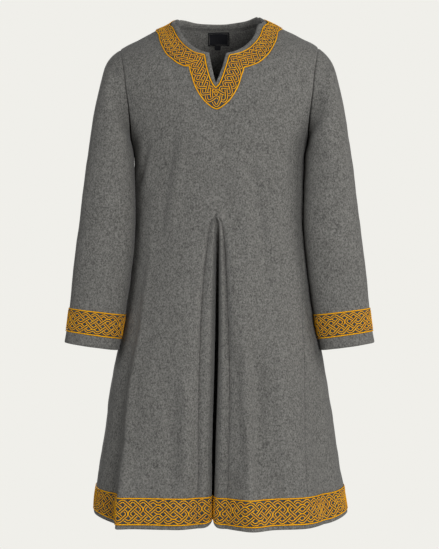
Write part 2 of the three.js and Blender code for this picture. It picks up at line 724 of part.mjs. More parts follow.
/** The three curves that bound the binding and the band, each by its place round the neck. */
const NECK_LINES = {
  edge: {
    shoulder: 0,
    back: BACK_NECK.edge,
    neck: (side, share) => neckArc(side, NECK_EDGE,
      { x: slitX(side, slitEdge, EDGE_CORNER), down: EDGE_CORNER }, 0, share),
    slit: (side, share) => slitPlace(side, slitEdge, EDGE_CORNER, EDGE_END, share),
  },
  seam: {
    shoulder: NECK_SEAM,
    back: BACK_NECK.seam,
    neck: (side, share) => neckArc(side, NECK_CURVE,
      { x: slitX(side, slitSeam, SLIT_CORNER), down: SLIT_CORNER }, NECK_SEAM, share),
    slit: (side, share) => slitPlace(side, slitSeam, SLIT_CORNER, SLIT_END, share),
  },
  outer: {
    shoulder: TRIM_OUTER_DOWN,
    back: BACK_NECK.trim,
    neck: (side, share) => neckArc(side, TRIM_CURVE,
      { x: side < 0 ? TRIM_CORNER.left : TRIM_CORNER.right, down: TRIM_CORNER.down },
      TRIM_OUTER_DOWN, share),
    slit: (side, share) => lobePlace(side, share),
  },
};

/** x of the slit's edge or seam on one side. */
function slitX(side, table, down) {
  return side < 0 ? table.left(down) : table.right(down);
}

/** A place along one side of the slit, from its corner (0) to its end (1). */
function slitPlace(side, table, from, to, share) {
  const down = mix(from, to, 1 - (1 - share) ** SLIT_CROWD);
  return { turn: turnAt(slitX(side, table, down), down), down };
}

/** A place along the band's lobe, from its corner (0) to its tip (1). */
function lobePlace(side, share) {
  const angle = share * PI / 2;
  const x = LOBE.x + side * LOBE.wide * cos(angle);
  const cornerX = side < 0 ? TRIM_CORNER.left : TRIM_CORNER.right;
  const down = TRIM_CORNER.down + LOBE.deep * sin(angle);
  return { turn: turnAt(mix(cornerX, x, smooth(share / LOBE.corner)), down), down };
}

/** Places along the front of a neck line, from the left shoulder nearly to the right one. */
function neckFront(line) {
  const list = [];
  for (let k = 0; k < NECK_COLUMNS; k += 1) list.push(line.neck(-1, k / NECK_COLUMNS));
  for (let k = 0; k < SLIT_ROWS; k += 1) list.push(line.slit(-1, k / SLIT_ROWS));
  for (let k = SLIT_ROWS; k > 0; k -= 1) list.push(line.slit(1, k / SLIT_ROWS));
  for (let k = NECK_COLUMNS; k > 0; k -= 1) list.push(line.neck(1, k / NECK_COLUMNS));
  return list;
}

/** Places along the back of a neck line, from the right shoulder nearly to the left one. */
function neckBack(line) {
  return Array.from({ length: BACK_STEPS }, (_, k) => {
    const turn = 90 + 180 * k / BACK_STEPS;
    return { turn, down: line.shoulder + line.back * abs(cos(radians(turn))) };
  });
}

/** Places along a neck line, once round. */
function neckRound(line) {
  return [...neckFront(line), ...neckBack(line)];
}

/** The narrow turned edge between the neck's edge and its seam, once round. */
function neckBinding() {
  const lines = [neckRound(NECK_LINES.edge), neckRound(NECK_LINES.seam)];
  const count = lines[0].length;
  const sheet = new Sheet();
  const name = (i, j) => `${i % count} ${j}`;
  sheet.grid(count, 1, (i, j) => {
    const { turn, down } = lines[j][i % count];
    return bodyVertex(turn, down);
  }, { name });
  return wall(trimSeams(sheet, WIDE_SEAM_GAP), BINDING, BINDING_LIFT);
}

/** A prism over the neck band's outline, in front of the shoulder line or behind it. */
function bandPrism(front) {
  const halves = [neckFront(NECK_LINES.outer), neckBack(NECK_LINES.outer)];
  const [own, other] = front ? halves : halves.reverse();
  const outline = [...own, other[0]]
    .map(({ turn, down }) => around(turn, down))
    .map((point) => new THREE.Vector2(point.x, point.z));
  for (const end of [outline[outline.length - 1], outline[0]]) {
    outline.push(new THREE.Vector2(end.x + sign(end.x) * BAND_PRISM.lean, BAND_PRISM.top));
  }
  const shape = new THREE.Shape(outline);
  const geometry = new THREE.ExtrudeGeometry(shape, { depth: BAND_PRISM.deep, bevelEnabled: false });
  geometry.rotateX(PI / 2);
  if (!front) geometry.translate(0, BAND_PRISM.deep, 0);
  return geometry;
}

/** A closed mesh as a solid that can be cut. */
function solid(geometry) {
  const bare = geometry.clone();
  for (const name of ['normal', 'uv']) bare.deleteAttribute(name);
  const merged = mergeVertices(bare, 1e-4);
  return new wasm.Manifold(new wasm.Mesh({
    numProp: 3,
    vertProperties: merged.attributes.position.array,
    triVerts: new Uint32Array(merged.index.array),
  }));
}

/** The neck band on one panel: the panel's own points moved out, inside the band's outline. */
function neckTrim(sheet, front) {
  const cut = solid(wall(sheet, TRIM, TRIM_LIFT)).intersect(solid(bandPrism(front)));
  const mesh = cut.getMesh();
  const geometry = new THREE.BufferGeometry();
  geometry.setAttribute('position', new THREE.BufferAttribute(mesh.vertProperties, 3));
  geometry.setIndex(new THREE.BufferAttribute(mesh.triVerts, 1));
  geometry.computeVertexNormals();
  return geometry;
}

// ---- Labels ----------------------------------------------------------------------------------

function label({ left, right, top, bottom }) {
  const sheet = new Sheet();
  sheet.grid(LABEL_GRID.across, LABEL_GRID.rows, (i, j) => {
    const down = mix(top, bottom, j / LABEL_GRID.rows);
    const x = mix(left, right, i / LABEL_GRID.across);
    return bodyVertex(180 - turnAt(x, down), down);
  });
  return wall(sheet, LABEL, -WOOL - LABEL_GAP);
}

// ---- The garment -----------------------------------------------------------------------------

const garment = new THREE.Group();
garment.name = 'tunic';

function piece(name, colour, geometry) {
  const mesh = new THREE.Mesh(geometry, new THREE.MeshStandardMaterial(COLOURS[colour]));
  mesh.name = name;
  garment.add(mesh);
}

const front = frontSheet();
const back = backSheet();
piece('front_panel', 'wool', wall(front, WOOL));
piece('back_panel', 'wool', wall(back, WOOL));
piece('front_godet', 'wool', frontGodet());
for (const [name, side] of [['left', -1], ['right', 1]]) {
  piece(`side_gore_${name}`, 'wool', sideGore(side));
  piece(`sleeve_${name}`, 'wool', sleevePiece(side));
  piece(`cuff_trim_${name}`, 'gold', cuffTrim(side));
}
piece('neck_binding', 'wool', neckBinding());
piece('neck_trim_front', 'gold', neckTrim(front, true));
piece('neck_trim_back', 'gold', neckTrim(back, false));
piece('hem_trim', 'gold', hemTrim());
piece('neck_label', 'label', label(NECK_LABEL));
piece('size_tab', 'label', label(SIZE_TAB));

export default garment;
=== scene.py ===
"""A long-sleeved wool tunic in the old northern cut, filled out as if worn.

Every piece of cloth is a fine grid laid on one form, so the pieces meet at their seams. The form
is given in millimetres, with heights as "down", the distance below the middle of the neck. The
front faces -Y, and +X is on the right when the front is faced.
"""

import bmesh
import bpy
import numpy as np
from bpy.props import FloatProperty, FloatVectorProperty, PointerProperty
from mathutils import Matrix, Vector
from mathutils.kdtree import KDTree


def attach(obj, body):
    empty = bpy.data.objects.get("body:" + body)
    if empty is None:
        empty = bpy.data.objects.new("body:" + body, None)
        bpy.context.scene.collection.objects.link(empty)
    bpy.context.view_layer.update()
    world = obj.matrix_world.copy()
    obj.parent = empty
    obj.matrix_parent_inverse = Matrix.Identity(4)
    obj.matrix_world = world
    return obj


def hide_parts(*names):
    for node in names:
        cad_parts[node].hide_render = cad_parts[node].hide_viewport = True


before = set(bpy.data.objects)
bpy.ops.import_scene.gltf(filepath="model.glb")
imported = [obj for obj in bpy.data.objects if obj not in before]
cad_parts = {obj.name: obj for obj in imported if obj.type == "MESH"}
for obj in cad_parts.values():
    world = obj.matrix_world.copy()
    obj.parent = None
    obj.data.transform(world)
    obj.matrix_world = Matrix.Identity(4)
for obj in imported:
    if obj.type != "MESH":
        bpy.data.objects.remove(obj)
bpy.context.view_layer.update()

bl_info = {
    "name": "Wool tunic with interlace bands",
    "version": (1, 0, 0),
    "blender": (4, 5, 0),
    "location": "3D View > Sidebar > Tunic",
    "description": "Builds a long-sleeved wool tunic with a folded front godet and gold bands",
    "category": "Object",
}

MM = 0.001
WOOL, LABEL_CLOTH, BAND_CLOTH, BINDING_CLOTH = 2.0, 0.7, 0.9, 0.9
# How far a band's ground lifts off the cloth, and how far and over what share of it its edges sink
BAND_LIFT, BAND_EDGE_SUNK, BAND_EDGE_HALF = 1.35, 0.75, 0.02

# ---- The form: driving heights and tables ------------------------------------------------------

NECK_SEAM = 3.2
SHOULDER_END = 60.0
UNDERARM = 257.0
EDGE_CORNER, EDGE_END = 83.0, 143.0
SLIT_CORNER, SLIT_END = 86.5, 151.4
GODET_TOP = 397.0
HEM = 992.0
BAND_TOP, BAND_END = 935.0, 987.0
CUFF = 603.0
CUFF_BAND = (536.0, 583.0)
MIDDLE_X = -7.0
SQUARE, SLEEVE_SQUARE = 2.4, 2.2
FOLD_GROWTH = 1.3
NECK_X = -2.0

# A piece's own rows and columns, which the neck, the armhole and the godet's top divide
NECK_COLUMNS, PANEL_COLUMNS = 6, 10
SLIT_ROWS, ARMHOLE_ROWS, WAIST_ROWS, LAST_ROW = 4, 9, 12, 22
SKIRT_HEIGHTS = np.array([GODET_TOP, 420, 465, 530, 610, 695, 780, 860, BAND_TOP, BAND_END, HEM])


def through(at, value):
    """A smooth function through points. It never overshoots them, and runs on straight past them."""
    rise = np.diff(value) / np.diff(at)
    before, after = rise[:-1], rise[1:]
    total = np.where(before + after == 0, 1, before + after)
    inner = np.where(before * after > 0, 2 * before * after / total, 0)
    slope = np.concatenate([rise[:1], inner, rise[-1:]])

    def smooth_value(x):
        x = np.asarray(x, float)
        inside = np.clip(x, at[0], at[-1])
        i = np.clip(np.searchsorted(at, inside, side="right") - 1, 0, len(at) - 2)
        span = at[i + 1] - at[i]
        t = (inside - at[i]) / span
        u = 1 - t
        curve = value[i] * u * u * (1 + 2 * t) + value[i + 1] * t * t * (1 + 2 * u)
        curve += span * t * u * (slope[i] * u - slope[i + 1] * t)
        return curve + slope[0] * np.minimum(x - at[0], 0) + slope[-1] * np.maximum(x - at[-1], 0)

    return smooth_value


def table(names, *rows):
    """A table as one smooth function of its first column for each other named column."""
    data = np.array(rows, float)
    return {name: through(data[:, 0], data[:, k]) for k, name in enumerate(names.split()) if k}


BODY = table(
    "down wide front back middle",
    (0, 82, 8, 62, 0), (10, 103, 22, 73, 0), (28, 140, 42, 86, 0), (60, 198, 73, 99, 0),
    (85, 222, 94, 107, 0), (120, 228, 109, 113, 0), (160, 219, 118, 117, 0), (200, 201, 122, 119, 0),
    (230, 186, 124, 119, 0), (257, 174.5, 125, 118, 0), (300, 170.5, 125, 115, 1),
    (364, 170.5, 123, 110, 2), (450, 174, 126, 110, 4), (600, 190, 140, 126, 8),
    (760, 219, 156, 148, 11), (992, 256, 178, 182, 16))
ARMHOLE = table("down wide", (60, 198), (90, 190.5), (118, 186), (160, 181), (210, 176.5), (257, 174.5))
GORE_SEAM = table(
    "down turn", (257, 90), (300, 84), (364, 78), (460, 68), (562, 59), (719, 47.2), (850, 40.6), (992, 35.4))
SLIT_EDGE = table("down left right", (83, -20, 12.6), (110, -15, 5.5), (130, -10.4, -1.6), (143, -7, -7))
SLIT_SEAM = table(
    "down left right", (86.5, -28, 18.2), (108, -24.6, 12), (132, -18, 4), (145, -12, -1.8), (151.4, -7, -7))
GODET = table(
    "down left right fold deep gap bulge",
    (397, -7, -7, -6.5, 0, 1.5, 0), (414, -17, 4.5, -4.5, 6, 2, 3), (464, -25, 10, -4, 24, 2.5, 6),
    (541, -33, 13.5, -4.5, 42, 3, 7), (617, -37.5, 16, -5, 56, 3.2, 7), (710, -40.5, 18.5, -7, 70, 3.5, 6),
    (850, -42.5, 16.5, -11, 84, 3.2, 4), (992, -43, 11, -13, 96, 1.2, 2))
SLEEVE = table(
    "along out_x out_down in_x in_down half forward",
    (0, 198, 60, 174.5, 257, 76, 0), (20, 212.5, 73, 174.5, 258.2, 74, 3), (45, 225, 94, 172.8, 261, 71, 12),
    (80, 234, 128, 171.4, 267, 67, 25), (125, 243, 172, 169.4, 279, 63, 36),
    (180, 252, 226, 168.0, 300, 59, 43), (250, 261.5, 295, 165.8, 340, 55, 48),
    (345, 273, 389, 165.0, 411, 51, 50), (440, 285, 483, 172, 497, 48, 50),
    (536, 295, 577, 185.5, 590, 45, 49), (583, 300.5, 623, 194, 638, 43, 50),
    (603, 304, 643, 198, 658.5, 42, 50))
SLEEVE_SHAPED = 60.0

# The skirt's folds: turn round the body, height where each starts, how far out, half width in
# degrees, and how far round its lower part leans
SKIRT_FOLDS = (
    (-3, 400, -34, 7, 0), (10, 430, 22, 6, 0), (34, 520, 9, 9, 0), (55, 560, -13, 9, 0), (-38, 480, 16, 9, 0),
    (-46.5, 300, 17, 4, 5.6), (-58, 420, -15, 8, 0), (-118, 520, 12, 12, 0), (-146, 460, -12, 10, 0),
    (-168, 480, 12, 10, 0), (171, 500, -9, 9, 0), (150, 460, 13, 11, 0), (122, 540, -10, 11, 0))
LEAN_FROM = 700.0
# The godet's seams are drawn in from where the groove grows to where it dies, by height
GROOVE_DEEP, GROOVE_HALF = 6.0, 5.0
GROOVE_GROWS, GROOVE_DIES = (410.0, 470.0), (560.0, 900.0)

# Soft folds and dents of the cloth: -1 front or 1 back, x and height of both ends, out, half width
SOFT_FOLDS = (
    (-1, -88, 232, -116, 440, -3.4, 9), (-1, -70, 240, -98, 430, 2.2, 12),
    (-1, -139, 250, -157, 335, -2.6, 6), (-1, -128, 262, -146, 350, 1.6, 7),
    (-1, 59, 270, 98, 560, -3.6, 13), (-1, 40, 300, 70, 560, 1.8, 14),
    (-1, 142, 250, 140, 345, -2.0, 7), (-1, 130, 262, 126, 360, 1.4, 9),
    (-1, 2, 215, 8, 330, -1.6, 14), (-1, -30, 160, 30, 178, -1.2, 14),
    (-1, -89, 730, -89, 930, -4.5, 15), (-1, -66, 700, -62, 930, 2.2, 13),
    (-1, 28, 640, 40, 900, -3.5, 11), (-1, 74, 650, 76, 960, -6.5, 13), (-1, 118, 640, 124, 950, 4.0, 18),
    (1, -96, 200, -60, 420, -3.0, 12), (1, 100, 190, 66, 430, -3.0, 12),
    (1, -72, 240, -40, 430, 2.0, 13), (1, 78, 250, 44, 440, 2.0, 13),
    (1, -150, 240, -138, 380, -2.4, 9), (1, 148, 240, 140, 380, -2.4, 9),
    (1, 0, 330, 4, 620, -3.0, 16), (1, -60, 600, -70, 940, 4.0, 16), (1, 66, 620, 78, 940, -4.0, 15),
    (1, 20, 680, 24, 950, 3.0, 14))
# How much deeper all of them are, and how far from the body's sides they are full
FOLD_DEPTH, FACE_FROM = 1.5, 45.0
# The sleeve's: distance and turn of both ends, out, half width, given for the right sleeve
SLEEVE_FOLDS = (
    (48, 12, 20, 60, -3.6, 6), (62, 22, 44, 62, 2.4, 8), (34, 118, 150, 60, -2.4, 9),
    (60, 138, 190, 80, 1.8, 10), (110, 150, 210, 118, -2.2, 9),
    (230, 150, 300, 62, -2.2, 10), (275, 165, 330, 92, 1.6, 10), (330, 140, 395, 60, -1.8, 10),
    (40, 250, 150, 310, -2.4, 10), (90, 235, 200, 290, 1.8, 11), (240, 215, 320, 290, -2.0, 11),
    (420, 40, 520, 110, -1.4, 12), (430, 230, 510, 300, -1.4, 12))
# Share of the folds' height along the sleeve's upper and under edges, and where they are full
SLEEVE_EDGE_FOLDS, SLEEVE_FOLDS_FROM = 0.3, 25.0
# Slow unevenness of the cloth: waves across x, y and down, in turns per metre, and height
WAVES = (
    (5.3, 3.1, 4.7, 0.5), (-7.9, 4.3, 6.1, 0.42), (11.7, -6.7, 8.3, 0.34), (-15.1, 9.7, 12.9, 0.26),
    (19.3, 13.1, -17.9, 0.2), (27.1, -21.7, 23.3, 0.14))

# How the cloth settles on the wearer: the neck's rise by x, and how far each place moves, with the
# distance out from the middle where the move starts and the distance over which it grows
NECK_RISE = table(
    "x rise", (-95, 0), (-88, -0.9), (-83, -0.7), (-78, 3.6), (-71, 4.6), (-59, 3.4), (-47, 1.6),
    (-30, 0.3), (0, 0), (13, 0.3), (25, 1.4), (37, 3.2), (49, 4.6), (61, 6.9), (70, 8.8), (77.5, 9.4),
    (82, 4.2), (88, 0), (100, 0))
NECK_RISE_FADES = 9.0
LEFT_SHOULDER = dict(move=4.8, starts=84, grows=22)
SHOULDER_FADES = (60.0, 130.0)
RIGHT_NECK = dict(move=3.0, starts=50, grows=30)
RIGHT_NECK_FADES = 30.0
HEM_SIDES = dict(move=10.0, starts=208, grows=46)
HEM_LEFT = dict(move=4.5, starts=150, grows=90)
HEM_SETTLES_FROM = 890.0
HIPS = dict(move=3.6, starts=60, grows=130)
HIP_HEIGHT, HIP_HALF = 690.0, 75.0
# How far the hem rises at the godet's fold, how far it reaches to both sides, and from what height
FOLD_RISE, FOLD_RISE_LEFT, FOLD_RISE_RIGHT, FOLD_RISE_FROM = 11.0, 6.0, 3.5, 925.0

# Neck curves: half width and drop from the neck's middle, and how square they are
NECK_EDGE = dict(wide=81.5, drop=77, top=2, square=2)
NECK_CURVE = dict(wide=92, drop=83, top=4, square=2)
BAND_CURVE = dict(wide=121, drop=108, top=4, square=2.5)
BAND_CORNER = dict(left=-58.7, right=48, down=111)
LOBE_X, LOBE_WIDE, LOBE_DEEP, LOBE_CORNER, LOBE_POINTED = -5.5, 50.0, 85.5, 1 / 6, 1.45
BAND_SHOULDER = 18.5
BACK_NECK = dict(edge=2, seam=6.5, outer=15.5)
NECK_SHOULDER = dict(edge=0, seam=NECK_SEAM, outer=BAND_SHOULDER)
NECK_LABEL = (-23.0, 20.0, 15.0, 41.0)
SIZE_TAB = (-10.0, 2.0, 40.5, 49.0)
HEM_ROUND, HEM_TURNED = 2.3, 22.0
# A seam's half width, how far apart the puckers beside it lie, and how much flatter it is under a band
SEAM_HALF, PUCKER_EVERY = 2.0, 13.0
SEAM_FLATTER = 0.9


# ---- The form: surfaces --------------------------------------------------------------------------

def mix(a, b, t):
    """From a to b as t goes from 0 to 1."""
    return a + (b - a) * t


def ease(t):
    """0 to 1 with level ends."""
    s = np.clip(t, 0, 1)
    return s * s * (3 - 2 * s)


def between(span, value):
    """0 before a span and 1 after it, with level ends."""
    return ease((value - span[0]) / (span[1] - span[0]))


def signed_power(value, power):
    """A power that keeps its value's sign."""
    return np.sign(value) * np.abs(value) ** power


def unit(vectors):
    """Vectors at length 1."""
    length = np.linalg.norm(vectors, axis=-1, keepdims=True)
    return vectors / np.where(length == 0, 1, length)


def ridge(px, py, ax, ay, bx, by, half):
    """A soft ridge of height 1 along the line from a to b, fading past its ends."""
    dx, dy = bx - ax, by - ay
    length = np.hypot(dx, dy)
    along = ((px - ax) * dx + (py - ay) * dy) / length
    across = ((px - ax) * dy - (py - ay) * dx) / length
    share = along / length
    fade = ease(share / 0.3 + 0.35) * ease((1 - share) / 0.3 + 0.35)
    return np.exp(-(across / half) ** 2) * fade


def form(turn, down):
    """The body's bare form: turn runs round it, 0 at the middle of the front and 90 at the +X side."""
    turn, down = np.broadcast_arrays(np.asarray(turn, float), np.asarray(down, float))
    out = np.zeros(turn.shape)
    for fold_turn, start, fold_out, half, lean in SKIRT_FOLDS:
        leaned = fold_turn + lean * between((LEAN_FROM, HEM), down)
        apart = (turn - leaned + 540) % 360 - 180
        grown = np.maximum(0, (down - start) / (HEM - start)) ** FOLD_GROWTH
        out += fold_out * grown * np.exp(-(apart / half) ** 2)
    angle = np.radians(turn)
    s, c = np.sin(angle), np.cos(angle)
    middle = BODY["middle"](down)
    depth = np.where(c > 0, BODY["front"](down) + middle, BODY["back"](down) - middle)
    x = BODY["wide"](down) * signed_power(s, 2 / SQUARE) + out * s
    y = middle - depth * signed_power(c, 2 / SQUARE) - out * c
    strength = between(GROOVE_GROWS, down) * (1 - between(GROOVE_DIES, down))
    apart = np.minimum(np.abs(x - GODET["left"](down)), np.abs(x - GODET["right"](down)))
    groove = np.where(y < 0, GROOVE_DEEP * strength * np.exp(-(apart / GROOVE_HALF) ** 2), 0)
    return np.stack([x, y + groove, -down], -1)


def facing(point, a, b, step_a, step_b):
    """Outward unit normals of a surface point(a, b)."""
    along_a = point(a + step_a, b) - point(a - step_a, b)
    along_b = point(a, b + step_b) - point(a, b - step_b)
    return unit(np.cross(along_b, along_a))


def unevenness(point):
    """Slow waves of the whole cloth, in millimetres."""
    x, y, z = point[..., 0], point[..., 1], point[..., 2]
    height = 0
    for wx, wy, wz, size in WAVES:
        height = height + size * np.sin(2 * np.pi * MM * (wx * x + wy * y + wz * z))
    return height


def moved(place, distance):
    """How far a place of the cloth settles, at a distance out from the middle."""
    return place["move"] * ease((distance - place["starts"]) / place["grows"])


def settled(point):
    """Moves points of the form to where the cloth settles: shoulders, neck, hips and hem."""
    x, down = point[..., 0], -point[..., 2]
    at_shoulder = 1 - between(SHOULDER_FADES, down)
    at_neck = np.exp(-np.maximum(0, down - NECK_EDGE["top"]) / NECK_RISE_FADES)
    at_hips = np.exp(-((down - HIP_HEIGHT) / HIP_HALF) ** 2)
    at_hem = between((HEM_SETTLES_FROM, HEM), down)
    rise = -moved(LEFT_SHOULDER, -x) * at_shoulder + NECK_RISE["rise"](x) * at_neck
    rise = rise + moved(HEM_SIDES, np.abs(x)) * at_hem
    wide = moved(HIPS, np.abs(x)) * np.sign(x) * at_hips + moved(HEM_LEFT, -x) * at_hem
    wide = wide - moved(RIGHT_NECK, x) * np.exp(-np.maximum(0, down) / RIGHT_NECK_FADES)
    return point + np.stack([wide, 0 * wide, rise], -1)


def body(turn, down):
    """The body's cloth as worn: its form with the soft folds on it."""
    point = settled(form(turn, down))
    normal = facing(form, turn, down, 0.6, 0.8)
    x, y, z = point[..., 0], point[..., 1], point[..., 2]
    height = unevenness(point)
    for face, x0, down0, x1, down1, out, half in SOFT_FOLDS:
        on_face = ease(face * y / FACE_FROM)
        height = height + FOLD_DEPTH * out * ridge(x, -z, x0, down0, x1, down1, half) * on_face
    return point + normal * height[..., None]


def body_normal(turn, down):
    """Outward unit normals of the body's cloth."""
    return facing(body, turn, down, 0.7, 1.2)


def turn_at(x, down):
    """The turn, from the middle of its face, where the body is that far out."""
    share = np.minimum(1, np.abs(x) / BODY["wide"](down))
    return np.sign(x) * np.degrees(np.arcsin(share ** (SQUARE / 2)))


def armhole(turn):
    """The armhole's loop on the +X side: 0 at the shoulder, 90 in front, 180 under the arm."""
    angle = np.radians(turn)
    down = SHOULDER_END + (UNDERARM - SHOULDER_END) / 2 * (1 - np.cos(angle))
    edge = turn_at(ARMHOLE["wide"](down), down)
    return np.where(np.sin(angle) >= 0, edge, 180 - edge), down


def sleeve_form(along, turn, side=1):
    """A sleeve's bare form by the distance along it and the turn round it."""
    along, turn = np.broadcast_arrays(np.asarray(along, float), np.asarray(turn, float))
    angle = np.radians(turn)
    lengthwise = (1 + signed_power(np.cos(angle), 2 / SLEEVE_SQUARE)) / 2
    forward = signed_power(np.sin(angle), 2 / SLEEVE_SQUARE)

    def ring(at):
        x = mix(SLEEVE["in_x"](at), SLEEVE["out_x"](at), lengthwise)
        down = mix(SLEEVE["in_down"](at), SLEEVE["out_down"](at), lengthwise)
        return np.stack([x, -SLEEVE["forward"](at) - SLEEVE["half"](at) * forward, -down], -1)

    edge_turn, edge_down = armhole(turn)
    start = body(side * edge_turn, edge_down) * np.array([side, 1, 1])
    own = 1 - ease(along / SLEEVE_SHAPED)
    return (ring(along) + own[..., None] * (start - ring(np.zeros(along.shape)))) * np.array([side, 1, 1])


def sleeve(along, turn, side=1):
    """A sleeve's cloth as worn."""
    def bare(a, t):
        return sleeve_form(a, t, side)

    point = bare(along, turn)
    normal = side * facing(bare, np.maximum(along, 1.5), turn, 1.4, 2.5)
    along, turn = np.broadcast_arrays(np.asarray(along, float), np.asarray(turn, float))
    height = unevenness(point * np.array([1, 1, 1.3]))
    for along0, turn0, along1, turn1, out, half in SLEEVE_FOLDS:
        radius = SLEEVE["half"](along) * np.pi / 180
        arc = (turn - turn0 + 540) % 360 - 180
        height = height + out * ridge(along, arc * radius, along0, 0, along1, (turn1 - turn0) * radius, half)
    height = height * mix(SLEEVE_EDGE_FOLDS, 1, np.abs(np.sin(np.radians(turn))))
    return point + normal * (height * ease(along / SLEEVE_FOLDS_FROM))[..., None]


def sleeve_normal(along, turn, side=1):
    """Outward unit normals of a sleeve's cloth."""
    def worn(a, t):
        return sleeve(a, t, side)

    return side * facing(worn, np.maximum(along, 2.0), turn, 1.4, 2.5)


# ---- Places of the panels' rows and columns ------------------------------------------------------

def outer_height(row):
    """Height down a panel's outer edge: the armhole, then to the godet's top, then the skirt."""
    row = np.asarray(row, float)
    on_armhole = SHOULDER_END + (UNDERARM - SHOULDER_END) / 2 * (1 - np.cos(np.pi * row / ARMHOLE_ROWS))
    below = mix(UNDERARM, GODET_TOP, (row - ARMHOLE_ROWS) / (WAIST_ROWS - ARMHOLE_ROWS))
    skirt = np.interp(row, np.arange(WAIST_ROWS, LAST_ROW + 1), SKIRT_HEIGHTS)
    return np.where(row <= ARMHOLE_ROWS, on_armhole, np.where(row <= WAIST_ROWS, below, skirt))


def outer_turn(down):
    """Turn of a panel's outer edge from the middle of its face."""
    armhole_turn = turn_at(ARMHOLE["wide"](down), down)
    return np.where(down < UNDERARM, armhole_turn, GORE_SEAM["turn"](down))


def side_of(columns, side, down):
    """x of one side, from a table with a left and a right column."""
    return columns["left" if side < 0 else "right"](down)


def slit_place(side, columns, start, end, share):
    """Turn and height along one side of the slit, from its corner to its end."""
    down = mix(start, end, 1 - (1 - share) ** 1.5)
    return turn_at(side_of(columns, side, down), down), down


def lobe_place(side, share):
    """Turn and height along the neck band's lobe, from its corner to its tip."""
    angle = share * np.pi / 2
    x = LOBE_X + side * LOBE_WIDE * np.maximum(0, np.cos(angle)) ** LOBE_POINTED
    corner = BAND_CORNER["left" if side < 0 else "right"]
    down = BAND_CORNER["down"] + LOBE_DEEP * np.sin(angle)
    return turn_at(mix(corner, x, ease(share / LOBE_CORNER)), down), down


def neck_arc(side, line, share):
    """Turn and height along a front neck line, from the shoulder to the slit's or lobe's corner."""
    curve = dict(edge=NECK_EDGE, seam=NECK_CURVE, outer=BAND_CURVE)[line]
    corner_x, corner_down = dict(
        edge=(side_of(SLIT_EDGE, side, EDGE_CORNER), EDGE_CORNER),
        seam=(side_of(SLIT_SEAM, side, SLIT_CORNER), SLIT_CORNER),
        outer=(BAND_CORNER["left" if side < 0 else "right"], BAND_CORNER["down"]))[line]
    knots = np.linspace(0, 1, NECK_COLUMNS + 1)
    end = np.arcsin(min(1, abs(corner_x - NECK_X) / curve["wide"]))
    wide = curve["wide"] * np.sin(mix(np.pi / 2, end, knots)) ** (2 / curve["square"])
    reach = np.minimum(1, wide / curve["wide"])
    drop = curve["drop"] * (1 - reach ** curve["square"]) ** (1 / curve["square"])
    down = mix(curve["top"] + drop, corner_down, knots ** 4)
    turn = turn_at(NECK_X + side * wide, down)
    turn[0], down[0] = side * 90, NECK_SHOULDER[line]
    return through(knots, turn)(share), through(knots, down)(share)


def neck_line(line, q):
    """Turn and height once round the neck. q counts the left front, left slit, right slit, right
    front, and the back, each as 1 but the back as 2, and comes back to the left shoulder at 6."""
    slit = dict(
        edge=lambda side, share: slit_place(side, SLIT_EDGE, EDGE_CORNER, EDGE_END, share),
        seam=lambda side, share: slit_place(side, SLIT_SEAM, SLIT_CORNER, SLIT_END, share),
        outer=lobe_place)[line]
    q = np.asarray(q, float) % 6
    back_turn = 90 + 180 * (q - 4) / 2
    back_down = NECK_SHOULDER[line] + BACK_NECK[line] * np.abs(np.cos(np.radians(back_turn)))
    parts = [
        (q < 1, neck_arc(-1, line, np.clip(q, 0, 1))),
        (q < 2, slit(-1, np.clip(q - 1, 0, 1))),
        (q < 3, slit(1, np.clip(3 - q, 0, 1))),
        (q < 4, neck_arc(1, line, np.clip(4 - q, 0, 1))),
        (q < 6, (back_turn, back_down))]
    turn = np.select([test for test, _ in parts], [place[0] for _, place in parts])
    down = np.select([test for test, _ in parts], [place[1] for _, place in parts])
    return turn, down


def panel_place(column, row, inner_turn, inner_down, top):
    """Turn, from the middle of its face, and height of a panel's column and row."""
    across = column / PANEL_COLUMNS
    left = np.maximum(0, 1 - row / ARMHOLE_ROWS)

    def straight(at):
        turn = mix(inner_turn(at), outer_turn(outer_height(at)), across)
        return turn, mix(inner_down(at), outer_height(at), across)

    turn, down = straight(row)
    first_turn, first_down = straight(np.zeros(np.shape(row)))
    turn = turn + (top[0] - first_turn) * left * (1 - ease(row / ARMHOLE_ROWS))
    return turn, down + (top[1] - first_down) * left ** 2


def top_edge(column, neck):
    """Turn and height of a panel's top edge: along the neck, then along the shoulder."""
    neck_turn, neck_down = neck(np.clip(column / NECK_COLUMNS, 0, 1))
    share = (column - NECK_COLUMNS) / (PANEL_COLUMNS - NECK_COLUMNS)
    on_neck = column < NECK_COLUMNS
    return np.where(on_neck, neck_turn, 90), np.where(on_neck, neck_down, mix(NECK_SEAM, SHOULDER_END, share))


def front_place(side, column, row):
    """Turn and height on one side of the front."""
    def inner_down(at):
        slit = slit_place(1, SLIT_SEAM, SLIT_CORNER, SLIT_END, np.clip(at / SLIT_ROWS, 0, 1))[1]
        share = np.clip((at - SLIT_ROWS) / (WAIST_ROWS - SLIT_ROWS), 0, 1)
        middle = mix(SLIT_END, GODET_TOP, share ** 0.9)
        return np.where(at <= SLIT_ROWS, slit, np.where(at <= WAIST_ROWS, middle, outer_height(at)))

    def inner_turn(at):
        down = inner_down(at)
        x = np.where(down < SLIT_END, side_of(SLIT_SEAM, side, down),
                     np.where(down <= GODET_TOP, MIDDLE_X, side_of(GODET, side, down)))
        return side * turn_at(x, down)

    def neck(share):
        turn, down = neck_arc(side, "seam", 1 - share)
        return np.abs(turn), down

    turn, down = panel_place(column, row, inner_turn, inner_down, top_edge(column, neck))
    return side * turn, down


